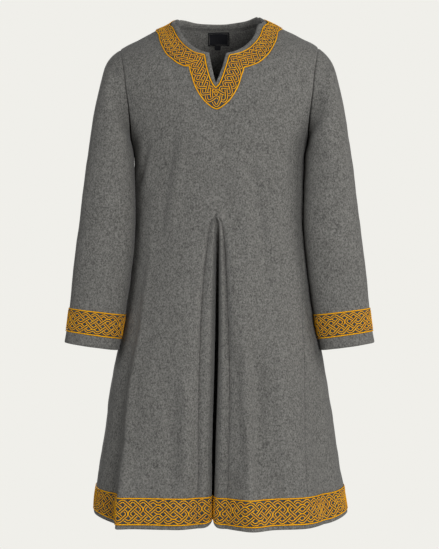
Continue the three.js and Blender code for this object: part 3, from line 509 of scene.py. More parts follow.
def back_place(side, column, row):
    """Turn and height on one side of the back."""
    def neck_down(share):
        return NECK_SEAM + BACK_NECK["seam"] * np.cos(share * np.pi / 2)

    def inner_down(at):
        rising = mix(neck_down(0), outer_height(at), ease(at / ARMHOLE_ROWS))
        return np.where(at < ARMHOLE_ROWS, rising, outer_height(at))

    def inner_turn(at):
        return np.zeros(np.shape(at))

    top = top_edge(column, lambda share: (90 * share, neck_down(share)))
    turn, down = panel_place(column, row, inner_turn, inner_down, top)
    return side * (180 - turn), down


def godet_surface(k, down):
    """The godet from its left seam (0) over the fold's bottom (3) to its right seam (6)."""
    k, down = np.broadcast_arrays(np.asarray(k, float), np.asarray(down, float))
    k = np.clip(k, 0, 6)
    fold, deep = GODET["fold"](down), GODET["deep"](down)

    def half_sizes(side):
        seam = form(turn_at(side_of(GODET, side, down), down), down)
        reach = np.abs(seam[..., 0] - fold)
        gap = np.minimum(GODET["gap"](down), reach * 0.4)
        return seam, gap, reach - gap, np.minimum(0.9 * (reach - gap), 0.7 * deep)

    halves = {side: half_sizes(side) for side in (-1, 1)}
    seam_y = (halves[-1][0][..., 1] + halves[1][0][..., 1]) / 2
    crest_y = np.maximum(*(seam[..., 1] + round_off for seam, _, _, round_off in halves.values()))
    end = np.maximum(crest_y, seam_y + deep - GODET["gap"](down))

    def half(side, step):
        seam, gap, wide, round_off = halves[side]
        share = np.clip(step, 0, 1)
        angle = share * np.pi / 2
        bulge = GODET["bulge"](down) * np.sin(np.pi * np.minimum(1, share * 1.15)) ** 2
        crest_x = fold + side * (gap + wide * (1 - np.sin(angle)))
        crest = np.stack([crest_x, seam[..., 1] + round_off * (1 - np.cos(angle)) - bulge, -down], -1)
        wall_y = mix(seam[..., 1] + round_off, end, np.clip(step - 1, 0, 1))
        wall = np.stack([fold + side * gap, wall_y, -down], -1)
        turned = np.clip(step - 2, 0, 1) * np.pi / 2
        bottom = np.stack([fold + side * gap * np.cos(turned), end + gap * np.sin(turned), -down], -1)
        step = step[..., None]
        return np.where(step <= 1, crest, np.where(step <= 2, wall, bottom))

    point = np.where(k[..., None] <= 3, half(-1, k), half(1, 6 - k))
    seam_share = np.exp(-(np.minimum(k, 6 - k) / 0.3) ** 2)
    point[..., 1] += (unevenness(point) * -1) * (1 - seam_share) * 0.6
    for side, share in ((-1, k), (1, 6 - k)):
        turn = turn_at(side_of(GODET, side, down), down)
        apart = (body(turn, down) - form(turn, down)) * np.exp(-(share / 0.3) ** 2)[..., None]
        point = point + apart
    aside = point[..., 0] - fold
    reach = np.where(aside < 0, FOLD_RISE_LEFT, FOLD_RISE_RIGHT)
    seam_free = 1 - np.exp(-(np.minimum(k, 6 - k) / 0.2) ** 2)
    rise = FOLD_RISE * np.exp(-np.abs(aside) / reach) * between((FOLD_RISE_FROM, HEM), down)
    point[..., 2] += rise * seam_free
    return point


def godet_normal(k, down):
    """Outward unit normals of the godet's cloth."""
    return facing(godet_surface, k, down, 0.06, 1.2)


# ---- Grids of cloth ------------------------------------------------------------------------------

def even(start, end, cell, fine=()):
    """Even places from start to end, about a cell apart, with finer ones near both ends."""
    places = np.linspace(start, end, max(2, int(round(abs(end - start) / cell)) + 1))
    extra = [start + step for step in fine] + [end - step for step in fine]
    return np.unique(np.concatenate([places, np.array(extra, float)]))


def row_places(cell):
    """Row numbers of a panel, about a cell apart in millimetres, with finer ones at its top seam."""
    rows = [np.array(TOP_ROWS)]
    for row in range(LAST_ROW):
        high = outer_height(row + 1) - outer_height(row)
        rows.append(np.linspace(row, row + 1, max(2, int(np.ceil(high / cell)) + 1)))
    return np.unique(np.concatenate(rows))


def turned_under(point, normal, downward, past):
    """Places past a hem's edge: round the fold, then up behind the cloth."""
    angle = np.minimum(past / HEM_ROUND, np.pi)
    up = np.maximum(0, past - np.pi * HEM_ROUND)
    drop = HEM_ROUND * np.sin(angle) - up
    inward = HEM_ROUND * (1 - np.cos(angle))
    return point + downward * drop[..., None] - normal * inward[..., None]


def grid_piece(bm, points, flat):
    """Adds a grid to a bmesh: points is (rows, columns, 3) in millimetres, flat its cut in metres."""
    rows, columns = points.shape[:2]
    part = bmesh.new()
    part.loops.layers.uv.new("UVMap")
    bmesh.ops.create_grid(part, x_segments=columns - 1, y_segments=rows - 1, size=0.5)
    mesh = bpy.data.meshes.new("part")
    part.to_mesh(mesh)
    part.free()
    place = np.empty((len(mesh.vertices), 3))
    mesh.vertices.foreach_get("co", place.ravel())
    i = np.rint((place[:, 0] + 0.5) * (columns - 1)).astype(int)
    j = np.rint((place[:, 1] + 0.5) * (rows - 1)).astype(int)
    mesh.vertices.foreach_set("co", (points[j, i] * MM).ravel())
    corner = np.empty(len(mesh.loops), int)
    mesh.loops.foreach_get("vertex_index", corner)
    mesh.uv_layers["UVMap"].data.foreach_set("uv", flat[j, i][corner].ravel())
    bm.from_mesh(mesh)
    bpy.data.meshes.remove(mesh)


def cut_lengths(points):
    """Each point's place on the flat cloth, in metres: across its row and down its column."""
    across = np.linalg.norm(np.diff(points, axis=1), axis=-1)
    downward = np.linalg.norm(np.diff(points, axis=0), axis=-1)
    across = np.concatenate([np.zeros((points.shape[0], 1)), np.cumsum(across, 1)], 1)
    downward = np.concatenate([np.zeros((1, points.shape[1])), np.cumsum(downward, 0)], 0)
    return np.stack([across - across.mean(1, keepdims=True), -downward], -1) * MM


def dipped(points, normals, seams, strength=1.0):
    """Draws the cloth in along its seams, with small puckers beside them. seams holds arrays of points."""
    sizes = bpy.context.scene.tunic
    line = []
    for seam in seams:
        steps = np.linspace(0, 1, 4, endpoint=False)[:, None, None]
        line.append((seam[:-1] + (seam[1:] - seam[:-1]) * steps).reshape(-1, 3))
        line.append(seam[-1:])
    line = np.concatenate(line)
    tree = KDTree(len(line))
    for k, point in enumerate(line):
        tree.insert(point, k)
    tree.balance()
    flat = points.reshape(-1, 3)
    apart = np.array([tree.find(point)[2] for point in flat]).reshape(points.shape[:-1])
    pucker = np.sin((points[..., 0] + points[..., 2] * 1.3) * 2 * np.pi / PUCKER_EVERY)
    pucker = pucker * np.exp(-apart / 7) * (1 - np.exp(-(apart / 2.5) ** 2))
    drawn = np.exp(-(apart / SEAM_HALF) ** 2)
    move = (sizes.seam_pucker * pucker - sizes.seam_depth * drawn) / MM
    return points + normals * (move * strength)[..., None]


def tucked(points, normals):
    """Adds the turnings of the side seams, which lie behind the next piece's wall."""
    def turning(edge, inner, normal):
        outward = unit(edge - inner)
        return [edge + outward * out - normal * behind for out, behind in TURNINGS]

    left = turning(points[:, 0], points[:, 1], normals[:, 0])[::-1]
    right = turning(points[:, -1], points[:, -2], normals[:, -1])
    columns = [column[:, None] for column in left] + [points] + [column[:, None] for column in right]
    sides = [np.repeat(normals[:, k][:, None], len(TURNINGS), 1) for k in (0, -1)]
    return np.concatenate(columns, 1), np.concatenate([sides[0], normals, sides[1]], 1)


def under_band(at, band_top):
    """How deep seams are down a piece: shallower where a band is sewn over them."""
    return (1 - SEAM_FLATTER * between((band_top - 14, band_top + 2), at))[:, None]


def new_mesh(name, bm):
    """A smooth-shaded object made of a bmesh."""
    mesh = bpy.data.meshes.new(name)
    bm.to_mesh(mesh)
    bm.free()
    for polygon in mesh.polygons:
        polygon.use_smooth = True
    piece = bpy.data.objects.new(name, mesh)
    bpy.context.scene.collection.objects.link(piece)
    return piece


def finish_piece(piece, material, nodes=()):
    """Gives a piece its material, hangs it on the root, and hides the CAD nodes it stands for."""
    piece.data.materials.append(material)
    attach(piece, "root")
    if nodes:
        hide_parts(*nodes)
    return piece


def thicken(piece, thick):
    """A wall of cloth that lies behind its outer face."""
    modifier = piece.modifiers.new("thickness", "SOLIDIFY")
    modifier.thickness = thick * MM
    modifier.offset = -1
    return piece


def cloth(name, parts, nodes, thick=WOOL, material=None):
    """A piece of cloth from one or more grids of points, joined where they touch."""
    bm = bmesh.new()
    for points in parts:
        grid_piece(bm, points[::-1], cut_lengths(points)[::-1])
    bmesh.ops.remove_doubles(bm, verts=bm.verts, dist=0.02 * MM)
    bmesh.ops.dissolve_degenerate(bm, edges=bm.edges, dist=0.01 * MM)
    piece = thicken(new_mesh(name, bm), thick)
    return finish_piece(piece, material or wool_material(), nodes)


# ---- Materials -----------------------------------------------------------------------------------

def node_tree(name):
    """A new material with a Principled shader, and a function that adds nodes to it."""
    material = bpy.data.materials.new(name)
    material.use_nodes = True
    tree = material.node_tree
    shader = tree.nodes["Principled BSDF"]

    def add(kind, inputs=(), **settings):
        node = tree.nodes.new(kind)
        for key, value in settings.items():
            setattr(node, key, value)
        for key, value in dict(inputs).items():
            if isinstance(value, bpy.types.NodeSocket):
                tree.links.new(value, node.inputs[key])
            else:
                node.inputs[key].default_value = value
        return node

    return material, shader, add, tree.links.new


def ramp(add, factor, *stops):
    """A colour ramp of (place, colour) stops."""
    node = add("ShaderNodeValToRGB", {"Fac": factor})
    while len(node.color_ramp.elements) < len(stops):
        node.color_ramp.elements.new(0.5)
    for element, (place, colour) in zip(node.color_ramp.elements, stops):
        element.position = place
        element.color = (*colour, 1)
    return node.outputs["Color"]


def wool_material(name="brushed_wool", shade=1.0):
    """Brushed wool with light and dark fibres blended in it."""
    if name in bpy.data.materials:
        return bpy.data.materials[name]
    colours = bpy.context.scene.tunic
    material, shader, add, link = node_tree(name)
    place = add("ShaderNodeTexCoord").outputs["Object"]
    drawn = add("ShaderNodeMapping", {"Vector": place, "Scale": (1, 1, 0.78)}).outputs["Vector"]
    tufts, patches, fibres = (
        add("ShaderNodeTexNoise",
            {"Vector": drawn, "Scale": scale, "Detail": detail, "Roughness": rough}).outputs["Fac"]
        for scale, detail, rough in ((370, 4, 0.74), (120, 2, 0.5), (1500, 2, 0.6)))
    blend = add("ShaderNodeMix", {"Factor": 0.13, "A": tufts, "B": patches}, data_type="FLOAT").outputs[0]
    dark = [shade * c for c in colours.wool_dark]
    light = [shade * c for c in colours.wool_light]
    middle = [(a + b) / 2 for a, b in zip(dark, light)]
    colour = ramp(add, blend, (0.36, dark), (0.5, middle), (0.64, light))
    link(colour, shader.inputs["Base Color"])
    height = add("ShaderNodeMath", {0: tufts, 1: fibres}, operation="ADD").outputs[0]
    bump = add("ShaderNodeBump", {"Height": height, "Strength": 0.45, "Distance": 0.0006}).outputs["Normal"]
    link(bump, shader.inputs["Normal"])
    shader.inputs["Roughness"].default_value = 0.95
    shader.inputs["Specular IOR Level"].default_value = 0.15
    shader.inputs["Sheen Weight"].default_value = 0.12
    shader.inputs["Sheen Roughness"].default_value = 0.5
    return material


def thread_material(name, colour, deep, roughness):
    """Twisted thread laid in satin stitch, with its strands across the line. Its colour holds painted shade
    in the grooves between the strands and painted light on their tops, blended with random worn patches.
    """
    if name in bpy.data.materials:
        return bpy.data.materials[name]
    material, shader, add, link = node_tree(name)
    along = add("ShaderNodeUVMap", uv_map="UVMap").outputs["UV"]
    leaned = add("ShaderNodeMapping", {"Vector": along, "Rotation": (0, 0, 0.5)}).outputs["Vector"]
    strands = add("ShaderNodeTexWave", {"Vector": leaned, "Scale": 420, "Distortion": 1.2, "Detail": 1},
                  wave_type="BANDS", bands_direction="X").outputs["Fac"]
    place = add("ShaderNodeTexCoord").outputs["Object"]
    worn = add("ShaderNodeTexNoise", {"Vector": place, "Scale": 130, "Detail": 2}).outputs["Fac"]
    blend = add("ShaderNodeMix", {"Factor": 0.5, "A": strands, "B": worn}, data_type="FLOAT").outputs[0]
    # Painted shade in the grooves between the strands: deep is the share of the colour left there. Painted
    # light on the strands' tops: 1.2 times the colour.
    dark = [a * c for a, c in zip(deep, colour)]
    light = [min(1, 1.2 * c) for c in colour]
    link(ramp(add, blend, (0.15, dark), (0.85, light)), shader.inputs["Base Color"])
    bump = add("ShaderNodeBump", {"Height": strands, "Strength": 0.4, "Distance": 0.0002}).outputs["Normal"]
    link(bump, shader.inputs["Normal"])
    shader.inputs["Roughness"].default_value = roughness
    shader.inputs["Specular IOR Level"].default_value = 0.06
    return material


def gold_thread():
    """The bands' thread."""
    # Gold thread whose painted shade between the strands keeps (0.72, 0.5, 0.5) of its colour.
    return thread_material("gold_thread", bpy.context.scene.tunic.gold, (0.72, 0.5, 0.5), 0.5)


def grey_thread():
    """The sewing thread."""
    # Grey thread whose painted shade between the strands keeps 0.62 of its colour.
    return thread_material("grey_thread", bpy.context.scene.tunic.wool_light, (0.62, 0.62, 0.62), 0.8)


def label_material():
    """Black damask-woven ribbon."""
    if "label_weave" in bpy.data.materials:
        return bpy.data.materials["label_weave"]
    material, shader, add, link = node_tree("label_weave")
    cut = add("ShaderNodeUVMap", uv_map="UVMap").outputs["UV"]
    rib = add("ShaderNodeTexWave", {"Vector": cut, "Scale": 500, "Distortion": 0.4},
              wave_type="BANDS", bands_direction="DIAGONAL").outputs["Fac"]
    black = bpy.context.scene.tunic.label_black
    colour = ramp(add, rib, (0.2, [0.6 * c for c in black]), (0.8, [1.5 * c for c in black]))
    link(colour, shader.inputs["Base Color"])
    bump = add("ShaderNodeBump", {"Height": rib, "Strength": 0.3, "Distance": 0.0001}).outputs["Normal"]
    link(bump, shader.inputs["Normal"])
    shader.inputs["Roughness"].default_value = 0.6
    shader.inputs["Specular IOR Level"].default_value = 0.15
    return material


# ---- Strips: closed bands of cloth round the neck, cuffs and hem ---------------------------------

class Strip:
    """A closed band on the cloth. around is 0 to 1 by length, across is 0 to 1."""

    def __init__(self, points, normals):
        self.points = np.concatenate([points, points[:1]])
        self.normals = np.concatenate([normals, normals[:1]])
        middle = self.points[:, self.points.shape[1] // 2]
        steps = np.linalg.norm(np.diff(middle, axis=0), axis=-1)
        self.places = np.concatenate([[0], np.cumsum(steps)])
        self.length = self.places[-1]
        self.places = self.places / self.length

    def sample(self, values, around, across):
        """Values between the strip's own places."""
        around, across = np.broadcast_arrays(np.asarray(around, float) % 1, np.asarray(across, float))
        i = np.clip(np.searchsorted(self.places, around, side="right") - 1, 0, len(self.places) - 2)
        t = ((around - self.places[i]) / (self.places[i + 1] - self.places[i]))[..., None]
        last = values.shape[1] - 1
        lane = np.clip(across, 0, 1) * last
        j = np.clip(np.floor(lane).astype(int), 0, last - 1)
        u = (lane - j)[..., None]
        near = mix(values[i, j], values[i, j + 1], u)
        far = mix(values[i + 1, j], values[i + 1, j + 1], u)
        return mix(near, far, t)

    def at(self, around, across, lift=0.0):
        """Points and normals at places on the band, lifted off the cloth."""
        normal = unit(self.sample(self.normals, around, across))
        lifted = self.sample(self.points, around, across) + normal * np.asarray(lift, float)[..., None]
        return lifted, normal


# How far places that lie square across are evened out along the line
SQUARED_EVEN = 0.3


def squared(inner, outer):
    """Places round the inner line that lie square across from places round the outer line."""
    share, fine = np.linspace(0, 1, 41), np.linspace(0, 1, 201)
    places, across = [], []
    for q in range(4):
        far, near = body(*neck_line(outer, q + share)), body(*neck_line(inner, q + fine))
        if q + 1 < 4:
            far[-1], near[-1] = (body(*neck_line(line, q + 1)) for line in (outer, inner))
        apart = np.linalg.norm(far[:, None] - near[None], axis=-1)
        found = mix(np.maximum.accumulate(fine[apart.argmin(1)]), share, SQUARED_EVEN)
        found = found - found[0] * (1 - share) ** 6 + (1 - found[-1]) * share ** 6
        places.append(q + share[:-1])
        across.append(q + found[:-1])
    return np.concatenate(places + [[4, 6]]), np.concatenate(across + [[4, 6]])


def neck_steps(front, slit, back):
    """Places round the neck, so far apart along its front, its slit and its back."""
    return np.unique(np.concatenate([
        even(0, 1, front), even(1, 2, slit), even(2, 3, slit), even(3, 4, front), even(4, 6, back)]))[:-1]


def neck_strip(inner, outer, steps, lanes, square=False):
    """The strip between two neck lines. steps are the places round it."""
    inner_steps = np.interp(steps, *squared(inner, outer)) if square else steps
    (near_turn, near_down), (far_turn, far_down) = neck_line(inner, inner_steps), neck_line(outer, steps)
    across = np.linspace(0, 1, lanes)
    turn = mix(near_turn[:, None], far_turn[:, None], across)
    down = mix(near_down[:, None], far_down[:, None], across)
    return Strip(body(turn, down), body_normal(turn, down))


ROUNDED_REACH, ROUNDED_PASSES = 0.12, 5


def rounded(strip, steps):
    """The strip with its corners at the shoulders eased."""
    near = np.exp(-(np.minimum(np.abs(steps - 4), np.minimum(steps, 6 - steps)) / ROUNDED_REACH) ** 2)
    points, normals = strip.points[:-1], strip.normals[:-1]
    for _ in range(ROUNDED_PASSES):
        points, normals = (
            mix(rows, (np.roll(rows, 1, 0) + np.roll(rows, -1, 0)) / 2, 0.5 * near[:, None, None])
            for rows in (points, normals))
    return Strip(points, unit(normals))


def cuff_strip(side):
    """Once round a cuff."""
    turn = np.linspace(360, 0, 180, endpoint=False) * side
    along = np.linspace(*CUFF_BAND, 9)
    return Strip(sleeve(along, turn[:, None], side), sleeve_normal(along, turn[:, None], side))


def hem_strip():
    """Once round the hem: left front, godet, right front, right gore, back, left gore."""
    down = np.linspace(BAND_TOP, BAND_END, 9)[None, :]
    seam = GORE_SEAM["turn"](down)
    left, right = (turn_at(side_of(GODET, side, down), down) for side in (-1, 1))
    points, normals = [], []
    for start, end, steps in (
            (-seam, left, 70), (None, None, 130), (right, seam, 70), (seam, 180 - seam, 100),
            (180 - seam, 180 + seam, 120), (180 + seam, 360 - seam, 100)):
        share = np.linspace(0, 1, steps, endpoint=False)[:, None]
        if start is None:
            points.append(godet_surface(6 * share, down))
            normals.append(godet_normal(6 * share, down))
        else:
            turn = mix(start, end, share)
            points.append(body(turn, down))
            normals.append(body_normal(turn, down))
    return Strip(np.concatenate(points), np.concatenate(normals))


# ---- Interlace -----------------------------------------------------------------------------------

# Where each interlace turns back, in a knot of so many columns that repeats round the band: "-" turns
# a strand back across the band, and "|" turns it back along the band
HEM_KNOT = (12, {(0, 3): "|", (3, 2): "|", (6, 1): "-", (6, 3): "-", (9, 4): "-"})
CUFF_KNOT = (12, {(0, 1): "-", (3, 2): "|", (6, 3): "-", (9, 4): "-"})
NECK_KNOT = (20, {(0, 1): "-", (10, 2): "|"})

# A thread's section, across it and up, in halves of its width and in heights
THREAD_SECTION = ((-1, -0.9), (-0.8, 0.35), (0, 1), (0.8, 0.35), (1, -0.9))
# How far a thread lies above its ground in heights, and how far below it in millimetres where hidden
THREAD_UP, THREAD_UNDER = 0.12, -1.0
BORDER_INSET = 0.6


def strands(columns, rows, knot):
    """Closed strands of an interlace on unit cells, as steps from cell to cell.

    Crossings lie where column + row is odd, and the knot says which of them are closed by a wall.
    """
    knot_columns, walls = knot
    free = {(a, b) for a in range(columns) for b in range(rows)}
    while free:
        a, b = start = min(free)
        way = 1
        steps = []
        while True:
            free.discard((a % columns, b))
            rising = (a + b) % 2 == 1
            node_a = a + (way > 0)
            node_b = b + (rising == (way > 0))
            lift = 1 if rising == (way > 0) else -1
            wall = "-" if node_b in (0, rows) else walls.get((node_a % columns % knot_columns, node_b))
            over = wall is not None or rising == (node_b % 2 == 1)
            here = (a + 0.5, b + 0.5)
            if wall == "-":
                a += way
            elif wall == "|":
                b += lift
                way = -way
            else:
                a += way
                b += lift
            steps.append((here, (node_a, node_b), (a + 0.5, b + 0.5), wall is not None, over))
            if (a % columns, b) == start and way == 1:
                break
        yield steps


def strand_path(steps, hidden):
    """Places along a strand, and how far each stands up: 0 where the strand passes under another."""
    places, heights = [], []
    for start, node, end, turned, over in steps:
        start, node, end = (np.array(p, float) for p in (start, node, end))
        if turned:
            for t in (0, 0.2, 0.4, 0.6, 0.8):
                places.append(start * (1 - t) ** 2 + 2 * node * t * (1 - t) + end * t * t)
                heights.append(1)
        elif over:
            for t in (0, 0.25, 0.5, 0.75):
                places.append(mix(start, end, t))
                heights.append(1)
        else:
            for t, height in ((0, 1), (0.5 - hidden - 0.05, 1), (0.5 - hidden + 0.04, 0),
                              (0.5 + hidden - 0.04, 0), (0.5 + hidden + 0.05, 1)):
                places.append(mix(start, end, t))
                heights.append(height)
    return np.array(places), np.array(heights, float)


def thread(bm, centre, normal, lift, wide, high, closed=True, offset=0.0):
    """Adds one raised line of thread along points on the cloth, all in millimetres."""
    if closed:
        ahead, behind = np.roll(centre, -1, 0), np.roll(centre, 1, 0)
    else:
        ahead = np.concatenate([centre[1:], centre[-1:]])
        behind = np.concatenate([centre[:1], centre[:-1]])
    sideways = unit(np.cross(normal, unit(ahead - behind)))
    centre = centre + sideways * offset
    rings = []
    for across, up in THREAD_SECTION:
        rise = np.where(np.asarray(lift) > 0, up * high, -abs(high)) * np.ones(len(centre))
        rings.append(centre + sideways * (across * wide / 2) + normal * (rise + lift)[:, None])
    rings.append(rings[0])
    points = np.stack(rings, 1)
    if closed:
        points = np.concatenate([points, points[:1]])
    steps = np.linalg.norm(np.diff(points[:, 0], axis=0), axis=-1)
    along = np.concatenate([[0], np.cumsum(steps)]) * MM
    around = np.linspace(0, 1, len(rings)) * 3 * wide * MM
    flat = np.stack(np.broadcast_arrays(along[:, None], around), -1)
    grid_piece(bm, points, flat)


def finish_threads(name, bm, material):
    """Closes the threads' seams and makes them a piece."""
    bmesh.ops.remove_doubles(bm, verts=bm.verts, dist=0.01 * MM)
    bmesh.ops.recalc_face_normals(bm, faces=bm.faces)
    return finish_piece(new_mesh(name, bm), material)


def interlace(name, strip, columns, rows, edge, knot, ribbon, line, start=0.0):
    """An interlace of double-lined ribbons between two border lines, worked on a band's ground.

    edge is the share of the band's width left at each side, ribbon and line the widths of the ribbon
    and its lines in millimetres, and start where column 0 lies round the band.
    """
    bm = bmesh.new()
    high = bpy.context.scene.tunic.thread_height / MM
    wide = np.linalg.norm(strip.sample(strip.points, 0.2, 0) - strip.sample(strip.points, 0.2, 1))
    cell = np.hypot(strip.length / columns, wide * (1 - 2 * edge) / rows)
    hidden = ((ribbon + line) / 2 + 0.3) / cell
    for steps in strands(columns, rows, knot):
        places, heights = strand_path(steps, hidden)
        around, across = places[:, 0] / columns + start, mix(edge, 1 - edge, places[:, 1] / rows)
        centre, normal = strip.at(around, across, BAND_LIFT * np.ones(len(around)))
        lift = np.where(heights > 0, THREAD_UP * high, THREAD_UNDER)
        for side in (-1, 1):
            thread(bm, centre, normal, lift, line, high, offset=side * ribbon / 2)
    steps = np.linspace(0, 1, int(strip.length / 3), endpoint=False)
    border = bpy.context.scene.tunic.border_width / MM
    for across in (BORDER_INSET * border / wide, 1 - BORDER_INSET * border / wide):
        centre, normal = strip.at(steps, across, BAND_LIFT * np.ones(len(steps)))
        thread(bm, centre, normal, np.full(len(steps), THREAD_UP * high), border, high * 1.15)
    return finish_threads(name, bm, gold_thread())


def band_ground(name, strip, cells, lanes, nodes, span=(0.0, 1.0)):
    """The grey ground of a band, which lies on the cloth under it."""
    around = np.linspace(*span, cells + 1)[:, None]
    across = np.linspace(0, 1, lanes + 1)
    at_edge = np.exp(-(across / BAND_EDGE_HALF) ** 2) + np.exp(-((1 - across) / BAND_EDGE_HALF) ** 2)
    lift = BAND_LIFT - BAND_EDGE_SUNK * at_edge
    points, _ = strip.at(around, across, lift * np.ones((cells + 1, 1)))
    piece = cloth(name, [points.transpose(1, 0, 2)], nodes, BAND_CLOTH,
                  wool_material("band_ground", bpy.context.scene.tunic.band_shade))
    return piece


def stitches(name, centre, normal, lift, length, gap, material, wide=0.7, high=0.35):
    """A row of small stitches along points on the cloth."""
    steps = np.linalg.norm(np.diff(centre, axis=0), axis=-1)
    places = np.concatenate([[0], np.cumsum(steps)])
    bm = bmesh.new()
    for start in np.arange(gap, places[-1] - length, length + gap):
        at = start + length * np.array([0, 0.15, 0.5, 0.85, 1])
        points = np.stack([np.interp(at, places, centre[:, k]) for k in range(3)], -1)
        normals = unit(np.stack([np.interp(at, places, normal[:, k]) for k in range(3)], -1))
        thread(bm, points, normals, lift + np.array([-0.5, 0, 0.1, 0, -0.5]), wide, high, closed=False)
    bmesh.ops.remove_doubles(bm, verts=bm.verts, dist=0.01 * MM)
    bmesh.ops.holes_fill(bm, edges=[edge for edge in bm.edges if edge.is_boundary], sides=8)
    bmesh.ops.recalc_face_normals(bm, faces=bm.faces)
    return finish_piece(new_mesh(name, bm), material)


# ---- Settings ------------------------------------------------------------------------------------

class TunicSettings(bpy.types.PropertyGroup):
    """Sizes and colours of the tunic."""
    cell: FloatProperty(name="Cloth cell", description="Size of the cloth's mesh cells",
                        default=0.0045, unit="LENGTH")
    seam_depth: FloatProperty(name="Seam depth", description="How far a seam draws the cloth in",
                              default=0.0016, unit="LENGTH")
    seam_pucker: FloatProperty(name="Seam pucker", description="Height of the puckers beside a seam",
                               default=0.00022, unit="LENGTH")
    thread_height: FloatProperty(name="Thread height", description="How far the interlace stands up",
                                 default=0.0006, unit="LENGTH")
    border_width: FloatProperty(name="Border line", description="Width of a band's border lines",
                                default=0.0025, unit="LENGTH")
    wool_dark: FloatVectorProperty(name="Dark fibres", description="Colour of the wool's dark fibres",
                                   default=(0.062, 0.061, 0.057), subtype="COLOR", size=3)
    wool_light: FloatVectorProperty(name="Light fibres", description="Colour of the wool's light fibres",
                                    default=(0.235, 0.230, 0.215), subtype="COLOR", size=3)
    band_shade: FloatProperty(name="Band shade", description="Brightness of the bands' ground",
                              default=0.38, subtype="FACTOR")
    gold: FloatVectorProperty(name="Gold thread", description="Colour of the interlace thread",
                              default=(1.0, 0.47, 0.004), subtype="COLOR", size=3)
    label_black: FloatVectorProperty(name="Label", description="Colour of the neck label",
                                     default=(0.012, 0.012, 0.015), subtype="COLOR", size=3)
    floor: FloatVectorProperty(name="Floor", description="Colour of the floor and backdrop",
                               default=(0.871, 0.863, 0.823), subtype="COLOR", size=3)


# ---- Cloth pieces --------------------------------------------------------------------------------

GORE_SEAM_DEEPER = 2.4
# A side seam's turning: how far past the edge and how far behind it
TURNINGS = ((0.8, 1.4), (2.0, 2.5), (6.0, 3.2))
# Places past a hem's edge, and beside a seam, that take a row or column of their own
HEM_PAST = np.array([1.2, 2.4, 3.6, 4.8, 6.0, 7.3, 12, 17, HEM_TURNED])
NEAR_SEAM = (0.9, 2.0, 3.4)
TOP_ROWS = (0.06, 0.14, 0.24)
# A panel's column and a gore are about this wide
COLUMN_WIDE, GORE_WIDE = 20.0, 300.0
# The binding's section: share of its width from the neck's edge, and height off the cloth
BINDING_SECTION = (
    (1.0, -3.3), (0.85, -3.6), (0.6, -3.7), (0.3, -3.5), (0.08, -2.8), (0.0, -1.7), (0.0, -0.2),
    (0.08, 0.9), (0.25, 1.6), (0.5, 1.8), (0.75, 1.5), (0.9, 0.9), (0.97, 0.1), (1.0, -1.0))
# How far behind the back neck's cloth the labels hang, and how far the border lies in from the edge
LABEL_BEHIND, TAB_BEHIND, BORDER_IN = 3.1, 2.75, 2.2


def with_hem(points, normals, downward):
    """Adds the rows that turn under at the last row."""
    extra = turned_under(points[-1][None], normals[-1][None], downward[None],
                         HEM_PAST[:, None] * np.ones(points.shape[1]))
    return np.concatenate([points, extra])


def hem_direction(points):
    """Downward unit vectors along the cloth at its last row."""
    return unit(points[-1] - points[-3])


def panel_columns(cell, inner_seam):
    """Column numbers of one side of a panel, with finer ones at its outer and any inner seam."""
    near = np.array(NEAR_SEAM) / COLUMN_WIDE
    return np.unique(np.concatenate([
        even(0, NECK_COLUMNS, cell / COLUMN_WIDE), even(NECK_COLUMNS, PANEL_COLUMNS, cell / COLUMN_WIDE),
        near if inner_seam else [], PANEL_COLUMNS - near]))


class TUNIC_OT_front(bpy.types.Operator):
    """Builds the front panel, slit at the neck and slashed for the godet"""
    bl_idname = "tunic.front"
    bl_label = "Front"

    def execute(self, context):
        cell = context.scene.tunic.cell / MM
        columns, rows = panel_columns(cell, True), row_places(cell)
        parts = []
        for side in (-1, 1):
            turn, down = front_place(side, columns[None, :], rows[:, None])
            points, normals = body(turn, down), body_normal(turn, down)
            top_rows, low_rows = rows <= SLIT_ROWS, rows >= WAIST_ROWS
            seam_rows = rows <= ARMHOLE_ROWS if side < 0 else rows >= 0
            seams = [points[0], points[seam_rows, -1], points[top_rows, 0], points[low_rows, 0]]
            points = dipped(points, normals, seams, under_band(outer_height(rows), BAND_TOP))
            points = with_hem(points, normals, hem_direction(points))
            parts.append(points[:, ::-1] if side < 0 else points)
        front = cloth("front_cloth", parts, ["front_panel"])
        return {"FINISHED"}


class TUNIC_OT_back(bpy.types.Operator):
    """Builds the back panel"""
    bl_idname = "tunic.back"
    bl_label = "Back"

    def execute(self, context):
        cell = context.scene.tunic.cell / MM
        columns, rows = panel_columns(cell, False), row_places(cell)
        parts = []
        for side in (1, -1):
            turn, down = back_place(side, columns[None, :], rows[:, None])
            parts.append((body(turn, down), body_normal(turn, down)))
        points = np.concatenate([parts[0][0][:, ::-1], parts[1][0][:, 1:]], 1)
        normals = np.concatenate([parts[0][1][:, ::-1], parts[1][1][:, 1:]], 1)
        seams = [points[0], points[:, 0], points[:, -1]]
        points = dipped(points, normals, seams, under_band(outer_height(rows), BAND_TOP))
        points = with_hem(points, normals, hem_direction(points))
        back = cloth("back_cloth", [points], ["back_panel"])
        return {"FINISHED"}


